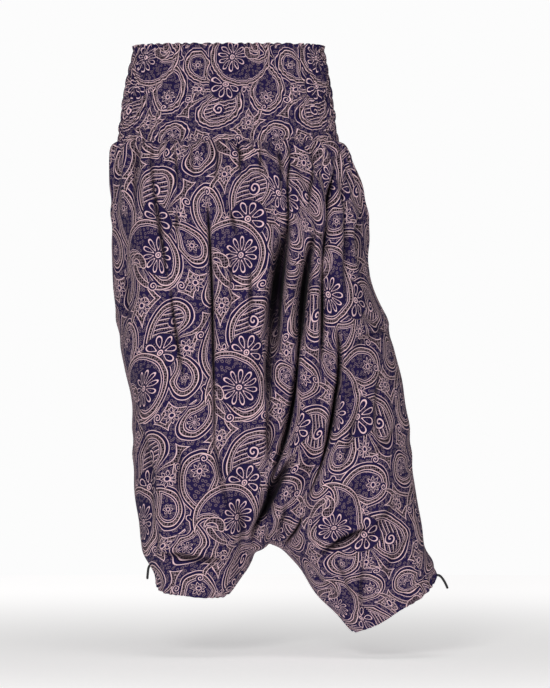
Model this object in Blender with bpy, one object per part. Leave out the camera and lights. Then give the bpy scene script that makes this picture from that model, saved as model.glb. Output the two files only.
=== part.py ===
"""Harem pants with a smocked waist, a knee-low crotch and drawstring hems, in the shape they keep when worn.

A smocked tube at the waist holds four wide panels, a back and a front for each leg, which meet at the side
seams, down the middle and round the inner leg. A casing with a drawstring ends each leg. Every piece is a thin
closed wall. Metres. +X is the wearer's right, +Y the wearer's front, +Z up. The origin is the middle of the
waistband.
"""

import math

import bmesh
import bpy
import numpy as np
from mathutils import Vector

CLOTH_WALL = 0.0018
CASING_WALL = 0.0030  # the hem is turned over, so its casing is two layers
SEAM_GAP = 0.0003  # between two sewn pieces

BAND_HEIGHT = 0.170
BAND_ROWS = 8  # puffs between nine rows of elastic thread
BAND_PUCKERS = 44
BAND_PUFF = 0.0042  # how far a puff stands out between two rows
BAND_PUCKER = 0.0016  # how far a pucker stands out of its puff
BAND_HEADER = 0.008  # frill above the first row of elastic

CORD_DIAMETER = 0.0045
CORD_POINTS = 6
# The free end of each drawstring, from the hole at the outer front of its casing to the cut tip.
LEFT_CORD_ROUTE = (
    # x, y, z
    (-0.1311, 0.0165, -0.8148),
    (-0.1365, 0.0175, -0.8158),
    (-0.1405, 0.0205, -0.8225),
    (-0.1420, 0.0235, -0.8325),
    (-0.1428, 0.0255, -0.8425),
)
RIGHT_CORD_ROUTE = (
    # x, y, z
    (0.3588, -0.0555, -0.8315),
    (0.3645, -0.0550, -0.8325),
    (0.3700, -0.0530, -0.8380),
    (0.3750, -0.0500, -0.8465),
    (0.3790, -0.0475, -0.8555),
)

# Sections of the waistband from its top edge down: the reach to each side, to the back and to the front.
BAND_SECTIONS = (
    # z, left_x, right_x, back_y, front_y
    (0.0850, -0.162, 0.161, -0.110, 0.102),
    (0.0500, -0.169, 0.167, -0.117, 0.106),
    (0.0050, -0.179, 0.175, -0.124, 0.111),
    (-0.0450, -0.185, 0.181, -0.131, 0.115),
    (-0.0850, -0.190, 0.186, -0.137, 0.118),
)

# Sections of each leg from the waist seam to the hem edge. side is the outermost line, where the side seam runs,
# and mid_x is where the back and front reach furthest. lift raises the front of a section and lowers its back.
LEFT_SECTIONS = (
    # side_x, side_y, side_z, mid_x, back_y, front_y, lift
    (-0.190, -0.004, -0.0853, -0.058, -0.137, 0.118, 0.000),
    (-0.203, -0.004, -0.0980, -0.066, -0.156, 0.132, 0.000),
    (-0.206, -0.004, -0.1650, -0.078, -0.173, 0.145, 0.000),
    (-0.202, -0.004, -0.2400, -0.088, -0.181, 0.150, 0.000),
    (-0.198, -0.004, -0.3250, -0.090, -0.177, 0.152, 0.000),
    (-0.193, -0.002, -0.4200, -0.088, -0.169, 0.152, 0.000),
    (-0.174, 0.000, -0.5200, -0.082, -0.160, 0.150, 0.000),
    (-0.167, 0.000, -0.6100, -0.074, -0.152, 0.146, 0.000),
    (-0.163, 0.000, -0.6900, -0.066, -0.144, 0.140, 0.002),
    (-0.156, 0.000, -0.7420, -0.060, -0.134, 0.130, 0.006),
    (-0.155, 0.000, -0.7720, -0.057, -0.124, 0.120, 0.008),
    (-0.153, 0.000, -0.7870, -0.056, -0.116, 0.112, 0.012),
    (-0.145, 0.002, -0.7980, -0.057, -0.108, 0.105, 0.018),
    (-0.136, 0.004, -0.8090, -0.059, -0.099, 0.098, 0.024),
    (-0.129, 0.006, -0.8200, -0.062, -0.089, 0.090, 0.028),
    (-0.126, 0.006, -0.8310, -0.064, -0.084, 0.086, 0.030),
)
RIGHT_SECTIONS = (
    # side_x, side_y, side_z, mid_x, back_y, front_y, lift
    (0.186, -0.004, -0.0853, 0.072, -0.137, 0.118, 0.000),
    (0.200, -0.004, -0.0980, 0.084, -0.156, 0.132, 0.000),
    (0.228, -0.004, -0.1520, 0.108, -0.173, 0.145, 0.000),
    (0.241, -0.004, -0.2250, 0.132, -0.181, 0.150, 0.000),
    (0.240, -0.006, -0.3000, 0.136, -0.179, 0.152, 0.000),
    (0.267, -0.008, -0.3780, 0.144, -0.175, 0.152, 0.000),
    (0.291, -0.010, -0.4650, 0.156, -0.171, 0.150, 0.000),
    (0.311, -0.014, -0.5550, 0.172, -0.168, 0.146, 0.000),
    (0.317, -0.018, -0.6350, 0.190, -0.163, 0.134, 0.000),
    (0.323, -0.022, -0.6980, 0.206, -0.158, 0.118, 0.001),
    (0.331, -0.026, -0.7420, 0.220, -0.151, 0.098, 0.003),
    (0.336, -0.032, -0.7690, 0.232, -0.143, 0.076, 0.005),
    (0.342, -0.038, -0.7910, 0.246, -0.133, 0.056, 0.010),
    (0.352, -0.044, -0.8080, 0.260, -0.123, 0.036, 0.014),
    (0.356, -0.048, -0.8230, 0.275, -0.113, 0.018, 0.018),
    (0.354, -0.050, -0.8370, 0.284, -0.108, 0.010, 0.020),
)
# The middle of the back and of the front down to the crotch point, which is the last row. The back seam is
# pulled towards the right leg, where the deepest fold takes it in.
CENTRE_LINE = (
    # back_x, front_x, z, back_y, front_y
    (0.034, 0.006, -0.0853, -0.137, 0.118),
    (0.046, 0.009, -0.0990, -0.153, 0.130),
    (0.072, 0.017, -0.1650, -0.169, 0.143),
    (0.088, 0.025, -0.2420, -0.174, 0.147),
    (0.086, 0.034, -0.3280, -0.168, 0.146),
    (0.074, 0.043, -0.4250, -0.154, 0.140),
    (0.070, 0.052, -0.5250, -0.138, 0.130),
    (0.068, 0.060, -0.6150, -0.122, 0.116),
    (0.068, 0.066, -0.6950, -0.100, 0.094),
    (0.069, 0.069, -0.7500, -0.066, 0.060),
    (0.070, 0.070, -0.7800, 0.000, 0.000),
)
# The inner leg seams below the crotch point.
LEFT_INSEAM = (
    # x, y, z
    (0.044, 0.000, -0.7900),
    (0.040, 0.001, -0.8060),
    (0.031, 0.002, -0.8220),
    (0.014, 0.003, -0.8370),
    (0.001, 0.003, -0.8460),
)
RIGHT_INSEAM = (
    # x, y, z
    (0.096, -0.004, -0.7910),
    (0.120, -0.014, -0.8190),
    (0.150, -0.026, -0.8530),
    (0.190, -0.038, -0.8990),
    (0.213, -0.046, -0.9210),
)
CROTCH_ROW = len(CENTRE_LINE) - 1
HEM_SEAM_ROW = len(LEFT_SECTIONS) - 2
HEM_EDGE_ROW = len(LEFT_SECTIONS) - 1
HEM_DRAW_ROW = HEM_EDGE_ROW - 3  # where the gathers of the hem begin
SQUARENESS = 2.25  # of a section's outer corners; 2 is an ellipse

# Large folds. Each runs down one face as a valley with a ridge beside it: a bent line from its top to its end.
FOLDS = (
    # face, z_top, z_end, x_top, x_middle, x_end, depth, left_width, right_width
    ("back", -0.130, -0.640, 0.104, 0.080, 0.069, 0.030, 0.018, 0.019),
    ("back", -0.230, -0.700, 0.143, 0.112, 0.078, 0.030, 0.017, 0.020),
    ("back", -0.110, -0.600, 0.190, 0.172, 0.152, 0.028, 0.017, 0.026),
    ("back", -0.500, -0.775, 0.186, 0.140, 0.052, 0.030, 0.018, 0.026),
    ("back", -0.220, -0.620, -0.029, -0.024, -0.014, 0.014, 0.013, 0.024),
    ("back", -0.110, -0.330, -0.106, -0.103, -0.100, 0.009, 0.014, 0.020),
    ("back", -0.100, -0.240, 0.018, 0.017, 0.016, 0.010, 0.012, 0.016),
    ("back", -0.190, -0.430, -0.178, -0.180, -0.176, 0.010, 0.012, 0.016),
    ("back", -0.640, -0.790, 0.236, 0.220, 0.150, 0.012, 0.018, 0.022),
    ("front", -0.110, -0.650, 0.085, 0.080, 0.066, 0.026, 0.018, 0.022),
    ("front", -0.180, -0.720, -0.010, 0.010, 0.050, 0.024, 0.018, 0.024),
    ("front", -0.120, -0.520, 0.178, 0.176, 0.160, 0.018, 0.016, 0.024),
    ("front", -0.120, -0.560, -0.085, -0.078, -0.060, 0.018, 0.016, 0.024),
    ("front", -0.105, -0.330, -0.150, -0.152, -0.154, 0.011, 0.014, 0.020),
    ("front", -0.105, -0.300, 0.036, 0.038, 0.040, 0.012, 0.013, 0.018),
)
FOLD_ROUNDNESS = 1.7  # 2 is a round valley, 1 a sharp one
RIDGE_HEIGHT = 0.30  # of its valley's depth
RIDGE_PLACE = 2.1  # from the valley's line, in widths of its left side
RIDGE_WIDTH = 1.1  # in the same measure

# Gathers at the waist seam: short soft pleats that fade out downwards, uneven in place and reach.
GATHERS = {"back": 8, "front": 6}  # on each panel
GATHER_DEPTH = 0.0065
GATHER_REACH = 0.160
GATHER_START = 0.018  # below the waist seam, where they are at their full depth
GATHER_DRIFT = 0.35  # how far they stray from even places, in gathers
HEM_GATHER = 0.0022  # how far a gather of the drawn-in hem stands in or out

SECTIONS = {"left": LEFT_SECTIONS, "right": RIGHT_SECTIONS}
INSEAMS = {"left": LEFT_INSEAM, "right": RIGHT_INSEAM}
# Mesh columns of each panel, and the part of a section's height from one mesh row to the next.
COLUMNS = {"back": {"left": 34, "right": 30}, "front": {"left": 22, "right": 26}}
ROW_SHARE = 2 / 3


def along(table, row):
    """The table's columns at a row that may lie between two of its rows, on a smooth curve through them."""
    values = np.array(table, float)
    last = len(values) - 1
    first = min(int(row), last - 1)
    part = row - first
    before = values[max(first - 1, 0)]
    start, end = values[first], values[first + 1]
    after = values[min(first + 2, last)]
    out_slope, in_slope = (end - before) / 2, (after - start) / 2
    squared, cubed = part**2, part**3
    return (
        (2 * cubed - 3 * squared + 1) * start
        + (cubed - 2 * squared + part) * out_slope
        + (3 * squared - 2 * cubed) * end
        + (cubed - squared) * in_slope
    )


def seam_end(half, face, row):
    """The inner end of a section: on the centre line above the crotch point, on the inner leg seam below it."""
    crotch_x, _, crotch_z, _, crotch_y = CENTRE_LINE[-1]
    if row >= CROTCH_ROW:
        return along(((crotch_x, crotch_y, crotch_z), *INSEAMS[half]), row - CROTCH_ROW)
    back_x, front_x, z, back_y, front_y = along(CENTRE_LINE, row)
    return np.array((back_x, back_y, z) if face == "back" else (front_x, front_y, z))


def quarter_line(seam, mid_x, reach_y, side, roundness, columns):
    """A quarter of a ring seen from above, from its inner seam to the side seam, in even steps along the cloth.

    It reaches furthest back or forward at mid_x. Its inner end is round at roundness 1, as on a leg that is
    closed, and meets the other half at an angle at roundness 0, as where the legs join.
    """
    turn = np.linspace(0, math.pi / 2, 100)
    straight, curved = turn / (math.pi / 2), 1 - np.cos(turn)
    inner_x = seam[0] + (mid_x - seam[0]) * ((1 - roundness) * straight + roundness * curved)
    inner_y = seam[1] + (reach_y - seam[1]) * np.sin(turn)
    power = 2 / SQUARENESS
    outer_x = mid_x + (side[0] - mid_x) * np.sin(turn[1:]) ** power
    outer_y = side[1] + (reach_y - side[1]) * np.abs(np.cos(turn[1:])) ** power
    x = np.concatenate((inner_x, outer_x))
    y = np.concatenate((inner_y, outer_y))
    length = np.concatenate(([0], np.cumsum(np.hypot(np.diff(x), np.diff(y)))))
    share = np.linspace(0, 1, columns + 1)
    return share, np.interp(share * length[-1], length, x), np.interp(share * length[-1], length, y)


def section(half, face, row, columns):
    """A section of one panel: points from its inner seam to its side seam."""
    side_x, side_y, side_z, mid_x, back_y, front_y, lift = along(SECTIONS[half], row)
    seam = seam_end(half, face, row)
    reach_y = back_y if face == "back" else front_y
    roundness = min(1.0, max(0.0, (row - CROTCH_ROW) / 2))
    share, x, y = quarter_line(seam, mid_x, reach_y, (side_x, side_y), roundness, columns)
    ease = share * share * (3 - 2 * share)
    lean = lift * (1 if face == "front" else -1) * np.sin(math.pi * share) ** 0.5
    z = seam[2] + (side_z - seam[2]) * ease + lean
    return np.stack((x, y, z), axis=1)


class Surface:
    """One sheet of cloth with no thickness. Faces know their panel, and points on a seam are shared."""

    def __init__(self):
        self.mesh = bmesh.new()
        self.points = {}
        self.panels = {}

    def point(self, place):
        key = tuple(np.round(np.array(place), 6))
        if key not in self.points:
            self.points[key] = self.mesh.verts.new(place)
        return self.points[key]

    def strip(self, panel, upper, lower, outward):
        for i in range(len(upper) - 1):
            corners = [upper[i], upper[i + 1], lower[i + 1], lower[i]]
            corners = [self.point(c) for c in corners]
            if len(set(corners)) < 3:
                continue
            corners = list(dict.fromkeys(corners))
            if outward < 0:
                corners.reverse()
            self.panels[self.mesh.faces.new(corners)] = panel


def fold_push(place):
    """How far the large folds push a point in (positive) at this place."""
    x, y, z = place
    push = 0.0
    for face, z_top, z_end, x_top, x_middle, x_end, depth, left, right in FOLDS:
        if (y < 0) != (face == "back") or not z_end < z < z_top:
            continue
        run = (z_top - z) / (z_top - z_end)
        line = x_top * (1 - run) ** 2 + (4 * x_middle - x_top - x_end) * run * (1 - run) + x_end * run**2
        across = x - line
        width = left if across < 0 else right
        swell = math.sin(math.pi * run**0.8) ** 0.8  # none at both ends, most just above the middle
        valley = math.exp(-((abs(across) / width) ** FOLD_ROUNDNESS))
        ridge = RIDGE_HEIGHT * math.exp(-(((across / left + RIDGE_PLACE) / RIDGE_WIDTH) ** 2))
        push += depth * swell * (valley - ridge)
    return push


def gather_push(half, face, place, share):
    """The short pleats of the gathered waist seam, which stop short of the panel's own seams."""
    drop = -(place[2] + BAND_HEIGHT / 2)
    if drop > 2 * GATHER_REACH:
        return 0.0
    phase = {"left": 0.0, "right": 1.9}[half] + {"back": 0.0, "front": 3.1}[face]
    drift = GATHER_DRIFT * (math.sin(5.1 * share + phase) + 0.6 * math.sin(11.3 * share + 2 * phase))
    wave = math.cos(2 * math.pi * (GATHERS[face] * share + drift))
    reach = GATHER_REACH * (1 + 0.5 * math.sin(7.7 * share + 3 * phase))
    fade = min(1.0, drop / GATHER_START) * math.exp(-((drop / reach) ** 2))
    ends = min(1.0, 12 * share, 12 * (1 - share))
    return GATHER_DEPTH * wave * fade * ends


def cloth_surface():
    """The body of the garment below the waistband, as one sheet that knows its panels."""
    sheet = Surface()
    places = [step * ROW_SHARE for step in range(round(HEM_SEAM_ROW / ROW_SHARE) + 1)] + [HEM_EDGE_ROW]
    shares = {}
    for half in ("left", "right"):
        for face in ("back", "front"):
            columns = COLUMNS[face][half]
            rows = [section(half, face, place, columns) for place in places]
            facing = (1 if half == "left" else -1) * (1 if face == "back" else -1)
            for step in range(len(rows) - 1):
                casing = step == len(rows) - 2
                panel = f"{half}_hem_casing" if casing else f"{half}_{face}_panel"
                sheet.strip(panel, rows[step], rows[step + 1], facing)
            for place, row in zip(places, rows):
                drawn_in = max(0.0, (place - HEM_DRAW_ROW) / (HEM_EDGE_ROW - HEM_DRAW_ROW))
                for i, co in enumerate(row):
                    hem_push = HEM_GATHER * drawn_in * (-1) ** i
                    shares[sheet.point(co)] = (half, face, i / columns, hem_push)
    sheet.mesh.normal_update()
    moves = {}
    for point in sheet.mesh.verts:
        half, face, share, hem_push = shares[point]
        push = gather_push(half, face, point.co, share) + fold_push(point.co) + hem_push
        moves[point] = point.co - point.normal * push
    for point, place in moves.items():
        point.co = place
    sheet.mesh.normal_update()
    return sheet


def object_of(name, points, faces, material):
    mesh = bpy.data.meshes.new(name)
    mesh.from_pydata([tuple(p) for p in points], [], faces)
    mesh.materials.append(material)
    mesh.shade_smooth()
    made = bpy.data.objects.new(name, mesh)
    bpy.context.scene.collection.objects.link(made)
    return made


def level_at_waist(point):
    """The way out of the cloth at a point, kept level along the waist seam, where the waistband is sewn on."""
    way = point.normal.copy()
    if point.co.z > LEFT_SECTIONS[1][2] and point.is_boundary:
        way.z = 0
    return way.normalized()


def triangles_of(face):
    """The face's points as triangles, cut along the shorter diagonal, so that both sides of a wall bend alike."""
    points = list(face.verts)
    if len(points) == 3:
        return [points]
    a, b, c, d = points
    if (a.co - c.co).length <= (b.co - d.co).length:
        return [(a, b, c), (a, c, d)]
    return [(a, b, d), (b, c, d)]


def wall_of(sheet, panel, wall, material):
    """A closed wall on one panel of the sheet. Where the panel meets another it stops half a seam gap short."""
    faces = [f for f in sheet.mesh.faces if sheet.panels[f] == panel]
    order, inward = {}, {}
    for face in faces:
        middle = face.calc_center_median()
        for point in face.verts:
            order.setdefault(point, len(order))
            inward.setdefault(point, []).append(middle)
    places = []
    for point in order:
        place = point.co.copy()
        if any(sheet.panels[f] != panel for f in point.link_faces):
            towards = sum(inward[point], Vector()) / len(inward[point]) - place
            place += towards.normalized() * SEAM_GAP
        places.append(place)
    count = len(places)
    normals = [level_at_waist(point) for point in order]
    outer = [p + n * wall / 2 for p, n in zip(places, normals)]
    inner = [p - n * wall / 2 for p, n in zip(places, normals)]
    made = []
    for a, b, c in (triangle for face in faces for triangle in triangles_of(face)):
        made += [[order[a], order[b], order[c]], [order[c] + count, order[b] + count, order[a] + count]]
    for face in faces:
        for loop in face.loops:
            others = [f for f in loop.edge.link_faces if f is not face and sheet.panels[f] == panel]
            if not others:
                a, b = order[loop.vert], order[loop.link_loop_next.vert]
                made.append([b, a, a + count, b + count])
    return object_of(panel, outer + inner, made, material)


def band_ring(z, columns):
    """The waistband's inner line at one height, in even steps, starting at the middle of the back."""
    heights = [-row[0] for row in BAND_SECTIONS]
    place = float(np.interp(-z, heights, range(len(heights))))
    _, left_x, right_x, back_y, front_y = along(BAND_SECTIONS, place)
    back_x, front_x = CENTRE_LINE[0][:2]
    side_y, left_mid, right_mid = LEFT_SECTIONS[0][1], LEFT_SECTIONS[0][3], RIGHT_SECTIONS[0][3]
    lines = []
    for centre_x, side_x, mid_x, reach_y, turned in (
        (back_x, right_x, right_mid, back_y, False),
        (front_x, right_x, right_mid, front_y, True),
        (front_x, left_x, left_mid, front_y, False),
        (back_x, left_x, left_mid, back_y, True),
    ):
        _, x, y = quarter_line((centre_x, reach_y), mid_x, reach_y, (side_x, side_y), 0, 60)
        line = np.stack((x, y), axis=1)
        lines.append(line[:0:-1] if turned else line[:-1])
    loop = np.concatenate(lines + [lines[0][:1]])
    length = np.concatenate(([0], np.cumsum(np.hypot(*np.diff(loop, axis=0).T))))
    wanted = np.linspace(0, length[-1], columns, endpoint=False)
    return [Vector((np.interp(w, length, loop[:, 0]), np.interp(w, length, loop[:, 1]), z)) for w in wanted]


def waistband(material):
    """A smocked tube: puffs between rows of elastic and puckers along them outside, plain inside."""
    columns = 2 * BAND_PUCKERS
    puff_height = (BAND_HEIGHT - BAND_HEADER) / BAND_ROWS
    top_row = BAND_HEIGHT / 2 - BAND_HEADER
    outside = [(BAND_HEIGHT / 2, 0.5)]  # height, and how much of a full puff stands there
    for row in range(BAND_ROWS):
        outside += [(top_row - row * puff_height, 0.0), (top_row - (row + 0.5) * puff_height, 1.0)]
    outside.append((-BAND_HEIGHT / 2, 0.0))
    rings = []
    for level, (z, puff) in enumerate(outside):
        ring = band_ring(z, columns)
        ways = [(ring[(i + 1) % columns] - ring[i - 1]).cross(Vector((0, 0, 1))) for i in range(columns)]
        puckers = [(-1) ** i * (1 + 0.5 * math.sin(1.7 * i + 2.3 * level)) for i in range(columns)]
        reaches = [CLOTH_WALL + puff * (BAND_PUFF + BAND_PUCKER * pucker) for pucker in puckers]
        rings.append([p + way.normalized() * reach for p, way, reach in zip(ring, ways, reaches)])
    rings += [band_ring(row[0], columns) for row in reversed(BAND_SECTIONS)]
    points = [p for ring in rings for p in ring]
    faces = []
    for level in range(len(rings)):
        upper, lower = level * columns, (level + 1) % len(rings) * columns
        for i in range(columns):
            j = (i + 1) % columns
            faces.append((upper + i, lower + i, lower + j, upper + j))
    return object_of("waistband", points, faces, material)


def drawstring(name, route, material):
    """The free end of a hem's drawstring, from its hole in the casing to the cut tip."""
    curve = bpy.data.curves.new(name, "CURVE")
    curve.dimensions = "3D"
    curve.bevel_depth = CORD_DIAMETER / 2
    curve.bevel_resolution = 2
    curve.use_fill_caps = True
    spline = curve.splines.new("POLY")
    spline.points.add(CORD_POINTS - 1)
    for point, row in zip(spline.points, np.linspace(0, len(route) - 1, CORD_POINTS)):
        point.co = (*along(route, row), 1)
    curve.materials.append(material)
    made = bpy.data.objects.new(name, curve)
    bpy.context.scene.collection.objects.link(made)
    return made


def cloth_material(name, colour, roughness):
    made = bpy.data.materials.new(name)
    made.use_nodes = True
    shader = made.node_tree.nodes["Principled BSDF"]
    shader.inputs["Base Color"].default_value = (*colour, 1)
    shader.inputs["Roughness"].default_value = roughness
    shader.inputs["Metallic"].default_value = 0.0
    return made


def main():
    for old in list(bpy.data.objects):
        bpy.data.objects.remove(old)
    print_cloth = cloth_material("printed_rayon", (0.13, 0.09, 0.13), 0.85)
    cord = cloth_material("black_cord", (0.01, 0.01, 0.011), 0.7)
    waistband(print_cloth)
    sheet = cloth_surface()
    for half in ("left", "right"):
        for face in ("back", "front"):
            wall_of(sheet, f"{half}_{face}_panel", CLOTH_WALL, print_cloth)
        wall_of(sheet, f"{half}_hem_casing", CASING_WALL, print_cloth)
    drawstring("left_drawstring", LEFT_CORD_ROUTE, cord)
    drawstring("right_drawstring", RIGHT_CORD_ROUTE, cord)
    sheet.mesh.free()


main()
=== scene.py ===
"""Harem pants of printed viscose: the looks of every piece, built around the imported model.

Metres, +X to the wearer's right, +Y to the wearer's front, +Z up, with the origin in the middle of the
waistband. The pieces come in the order in which they are put together: the camera, the cords, the smocked
waistband, the cut panels of the legs with their hem casings, and last the floor and the light.
"""

import math

import bpy
import numpy as np
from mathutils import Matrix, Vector


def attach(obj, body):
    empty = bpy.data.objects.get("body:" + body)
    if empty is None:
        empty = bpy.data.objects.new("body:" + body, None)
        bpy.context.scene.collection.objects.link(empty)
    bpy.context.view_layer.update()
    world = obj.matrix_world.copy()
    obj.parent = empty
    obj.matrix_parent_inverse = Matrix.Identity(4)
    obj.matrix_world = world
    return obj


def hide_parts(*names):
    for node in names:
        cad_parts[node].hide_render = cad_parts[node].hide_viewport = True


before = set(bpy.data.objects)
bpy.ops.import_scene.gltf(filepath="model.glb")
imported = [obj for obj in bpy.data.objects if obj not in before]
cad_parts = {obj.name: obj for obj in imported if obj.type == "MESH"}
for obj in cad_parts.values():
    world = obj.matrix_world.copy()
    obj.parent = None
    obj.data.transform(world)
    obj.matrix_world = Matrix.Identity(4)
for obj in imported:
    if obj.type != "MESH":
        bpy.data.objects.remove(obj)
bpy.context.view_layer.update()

bpy.ops.object.select_all(action="DESELECT")

# ---- Camera ----------------------------------------------------------------------------------------------
# A long lens straight behind the wearer, level with the middle of the garment, as for a catalogue.
CAMERA_DISTANCE = 9.0
FRAME_HEIGHT = 1.197  # what the frame takes in at the middle of the garment
FRAME_MIDDLE = (0.080, -0.432)  # x and z
SENSOR_HEIGHT = 36.0  # mm; it lies along the taller side of the frame

camera_data = bpy.data.cameras.new("camera")
camera_data.lens = SENSOR_HEIGHT * CAMERA_DISTANCE / FRAME_HEIGHT
camera_data.sensor_width = SENSOR_HEIGHT
camera = bpy.data.objects.new("camera", camera_data)
camera.location = (FRAME_MIDDLE[0], -CAMERA_DISTANCE, FRAME_MIDDLE[1])
camera.rotation_euler = (math.radians(90), 0, 0)
bpy.context.scene.collection.objects.link(camera)
bpy.context.scene.camera = camera


# ---- Drawstrings -----------------------------------------------------------------------------------------
# A black braided polyester cord runs through each hem casing and comes out of a buttonhole on its outer side.
# Only the free end shows. It bends over and hangs, and its tip was cut with a hot knife, which closed it.
def linear(hex_colour):
    """The linear colour of an sRGB hex value, such as #2A2658."""
    parts = [int(hex_colour[i : i + 2], 16) / 255 for i in (1, 3, 5)]
    return [p / 12.92 if p <= 0.04045 else ((p + 0.055) / 1.055) ** 2.4 for p in parts] + [1.0]


def add(nodes, kind, *inputs, **settings):
    """Adds a node with its settings. Its inputs are values or other outputs, in the order of its sockets."""
    node = nodes.new("ShaderNode" + kind)
    for name, value in settings.items():
        setattr(node, name, value)
    sockets = [socket for socket in node.inputs if socket.enabled]
    for socket, value in zip(sockets, inputs):
        if isinstance(value, bpy.types.NodeSocket):
            node.id_data.links.new(value, socket)
        elif value is not None:
            socket.default_value = value
    outputs = [socket for socket in node.outputs if socket.enabled]
    return outputs[0] if len(outputs) == 1 else outputs


def along(table, place):
    """The table's columns at a place that may lie between two of its rows, on a smooth curve through them."""
    values = np.array(table, float)
    last = len(values) - 1
    place = np.asarray(place, float)
    first = np.clip(place.astype(int), 0, last - 1)
    part = (place - first)[..., None]
    before, start = values[np.maximum(first - 1, 0)], values[first]
    end, after = values[first + 1], values[np.minimum(first + 2, last)]
    out_slope, in_slope = (end - before) / 2, (after - start) / 2
    squared, cubed = part**2, part**3
    return (
        (2 * cubed - 3 * squared + 1) * start
        + (cubed - 2 * squared + part) * out_slope
        + (3 * squared - 2 * cubed) * end
        + (cubed - squared) * in_slope
    )


CORD_DIAMETER = 0.0045
CORD_STRANDS = 16  # round the braid, half of them each way
CORD_PLAIT = 0.0032  # length of one plait along the cord
CORD_RELIEF = 0.00022
CORD_TIP = 0.02  # the share of its thickness at which the dome of the sealed end is closed off
CORD_FIBRES = 900.0  # per metre
CORD_ROWS = 120
CORD_SIDES = 48
CORD_ROUTES = {
    "left": (
        # x, y, z
        (-0.1311, 0.0165, -0.8148),
        (-0.1365, 0.0175, -0.8158),
        (-0.1405, 0.0205, -0.8225),
        (-0.1420, 0.0235, -0.8325),
        (-0.1428, 0.0255, -0.8425),
    ),
    "right": (
        # x, y, z
        (0.3588, -0.0555, -0.8315),
        (0.3645, -0.0550, -0.8325),
        (0.3700, -0.0530, -0.8380),
        (0.3750, -0.0500, -0.8465),
        (0.3790, -0.0475, -0.8555),
    ),
}

# Braided polyester: glossy filaments, so a black that still catches a soft streak of light on each plait.
cord_black = bpy.data.materials.new("braided_black_polyester")
cord_black.use_nodes = True
cord_nodes = cord_black.node_tree.nodes
cord_shader = cord_nodes["Principled BSDF"]
cord_shader.inputs["Roughness"].default_value = 0.55
cord_shader.inputs["IOR"].default_value = 1.54
cord_shader.inputs["Sheen Weight"].default_value = 0.25
cord_shader.inputs["Sheen Roughness"].default_value = 0.4
cord_place = add(cord_nodes, "TexCoord")[3]
cord_fibre, _ = add(cord_nodes, "TexNoise", cord_place, CORD_FIBRES, 3.0)
cord_tint, _ = add(cord_nodes, "ValToRGB", cord_fibre)
cord_tint.node.color_ramp.elements[0].color = linear("#08080A")
cord_tint.node.color_ramp.elements[1].color = linear("#1E1D21")
cord_black.node_tree.links.new(cord_tint, cord_shader.inputs["Base Color"])

for half, route in CORD_ROUTES.items():
    line = along(route, np.linspace(0, len(route) - 1, CORD_ROWS))
    run = np.concatenate(([0], np.cumsum(np.linalg.norm(np.diff(line, axis=0), axis=1))))
    points = []
    side = Vector((0, 1, 0))
    for i, place in enumerate(line):
        ahead = Vector(line[min(i + 1, CORD_ROWS - 1)] - line[max(i - 1, 0)]).normalized()
        side = (side - ahead * side.dot(ahead)).normalized()
        up = ahead.cross(side)
        tip = min(1.0, (run[-1] - run[i]) / (CORD_DIAMETER / 2))  # the sealed end closes in a dome
        closing = math.sqrt(max(0.0, 1 - (1 - tip) ** 2))
        for k in range(CORD_SIDES):
            turn = 2 * math.pi * k / CORD_SIDES
            plait = math.cos(CORD_STRANDS / 2 * turn + 2 * math.pi * run[i] / CORD_PLAIT)
            plait *= math.cos(CORD_STRANDS / 2 * turn - 2 * math.pi * run[i] / CORD_PLAIT)
            reach = (CORD_DIAMETER / 2 - CORD_RELIEF + CORD_RELIEF * plait * closing) * max(closing, CORD_TIP)
            points.append(Vector(place) + (side * math.cos(turn) + up * math.sin(turn)) * reach)
    faces = []
    for i in range(CORD_ROWS - 1):
        for k in range(CORD_SIDES):
            near, far = i * CORD_SIDES, (i + 1) * CORD_SIDES
            beside = (k + 1) % CORD_SIDES
            faces.append((near + k, near + beside, far + beside, far + k))
    faces.append(tuple(reversed(range(CORD_SIDES))))
    faces.append(tuple(range((CORD_ROWS - 1) * CORD_SIDES, CORD_ROWS * CORD_SIDES)))
    mesh = bpy.data.meshes.new(f"{half}_drawstring_braid")
    mesh.from_pydata([tuple(p) for p in points], [], faces)
    mesh.materials.append(cord_black)
    mesh.shade_smooth()
    braid = bpy.data.objects.new(f"{half}_drawstring_braid", mesh)
    bpy.context.scene.collection.objects.link(braid)
    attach(braid, "root")
    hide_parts(f"{half}_drawstring")


# ---- Waistband -------------------------------------------------------------------------------------------
# A wide tube of the printed viscose, smocked with nine rows of elastic thread sewn on its inside. The cloth
# puffs out between two rows, draws into small uneven puckers along them, and ends above them in a frill.
TILE = (204.0, 228.0)  # mm of flat cloth from one repeat of the print to the next
DARK, NAVY, TAUPE, PINK = 0.0, 1 / 3, 2 / 3, 1.0  # the inks, as one number that a ramp turns into colours
PLAIN = 0.30  # navy ground that is kept free of filling
SAME_INK = 0.01  # how near to an ink a tone counts as that ink
RIBBON = (
    # mm outside a ribbon's edge, and the ink that begins there
    (-60, TAUPE),
    (-1.6, PINK),
    (-0.2, DARK),
    (0.6, None),
)
OUTLINE = (
    # mm outside a boteh's edge, and the ink that begins there
    (-60, NAVY),
    (-11.4, PINK),
    (-10.4, PLAIN),
    (-8.0, PINK),
    (-6.8, DARK),
    (-6.2, TAUPE),
    (-2.2, DARK),
    (-1.6, PINK),
    (0, DARK),
    (1.4, None),
)
ECHO = (
    # mm outside the nearest boteh, and the ink that begins there
    (0, DARK),
    (1.4, PLAIN),
    (4.6, PINK),
    (5.8, NAVY),
    (15.0, PINK),
    (16.2, TAUPE),
    (20.4, PINK),
    (21.6, DARK),
    (22.4, NAVY),
    (60, NAVY),
)
COMB_PITCH = 3.9  # mm from one short stroke to the next in a boteh's outline
COMB_STROKE = 1.5
COMB_MIDDLE, COMB_REACH = -9.2, 0.7  # mm outside the boteh's edge, and to either side of that
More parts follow.
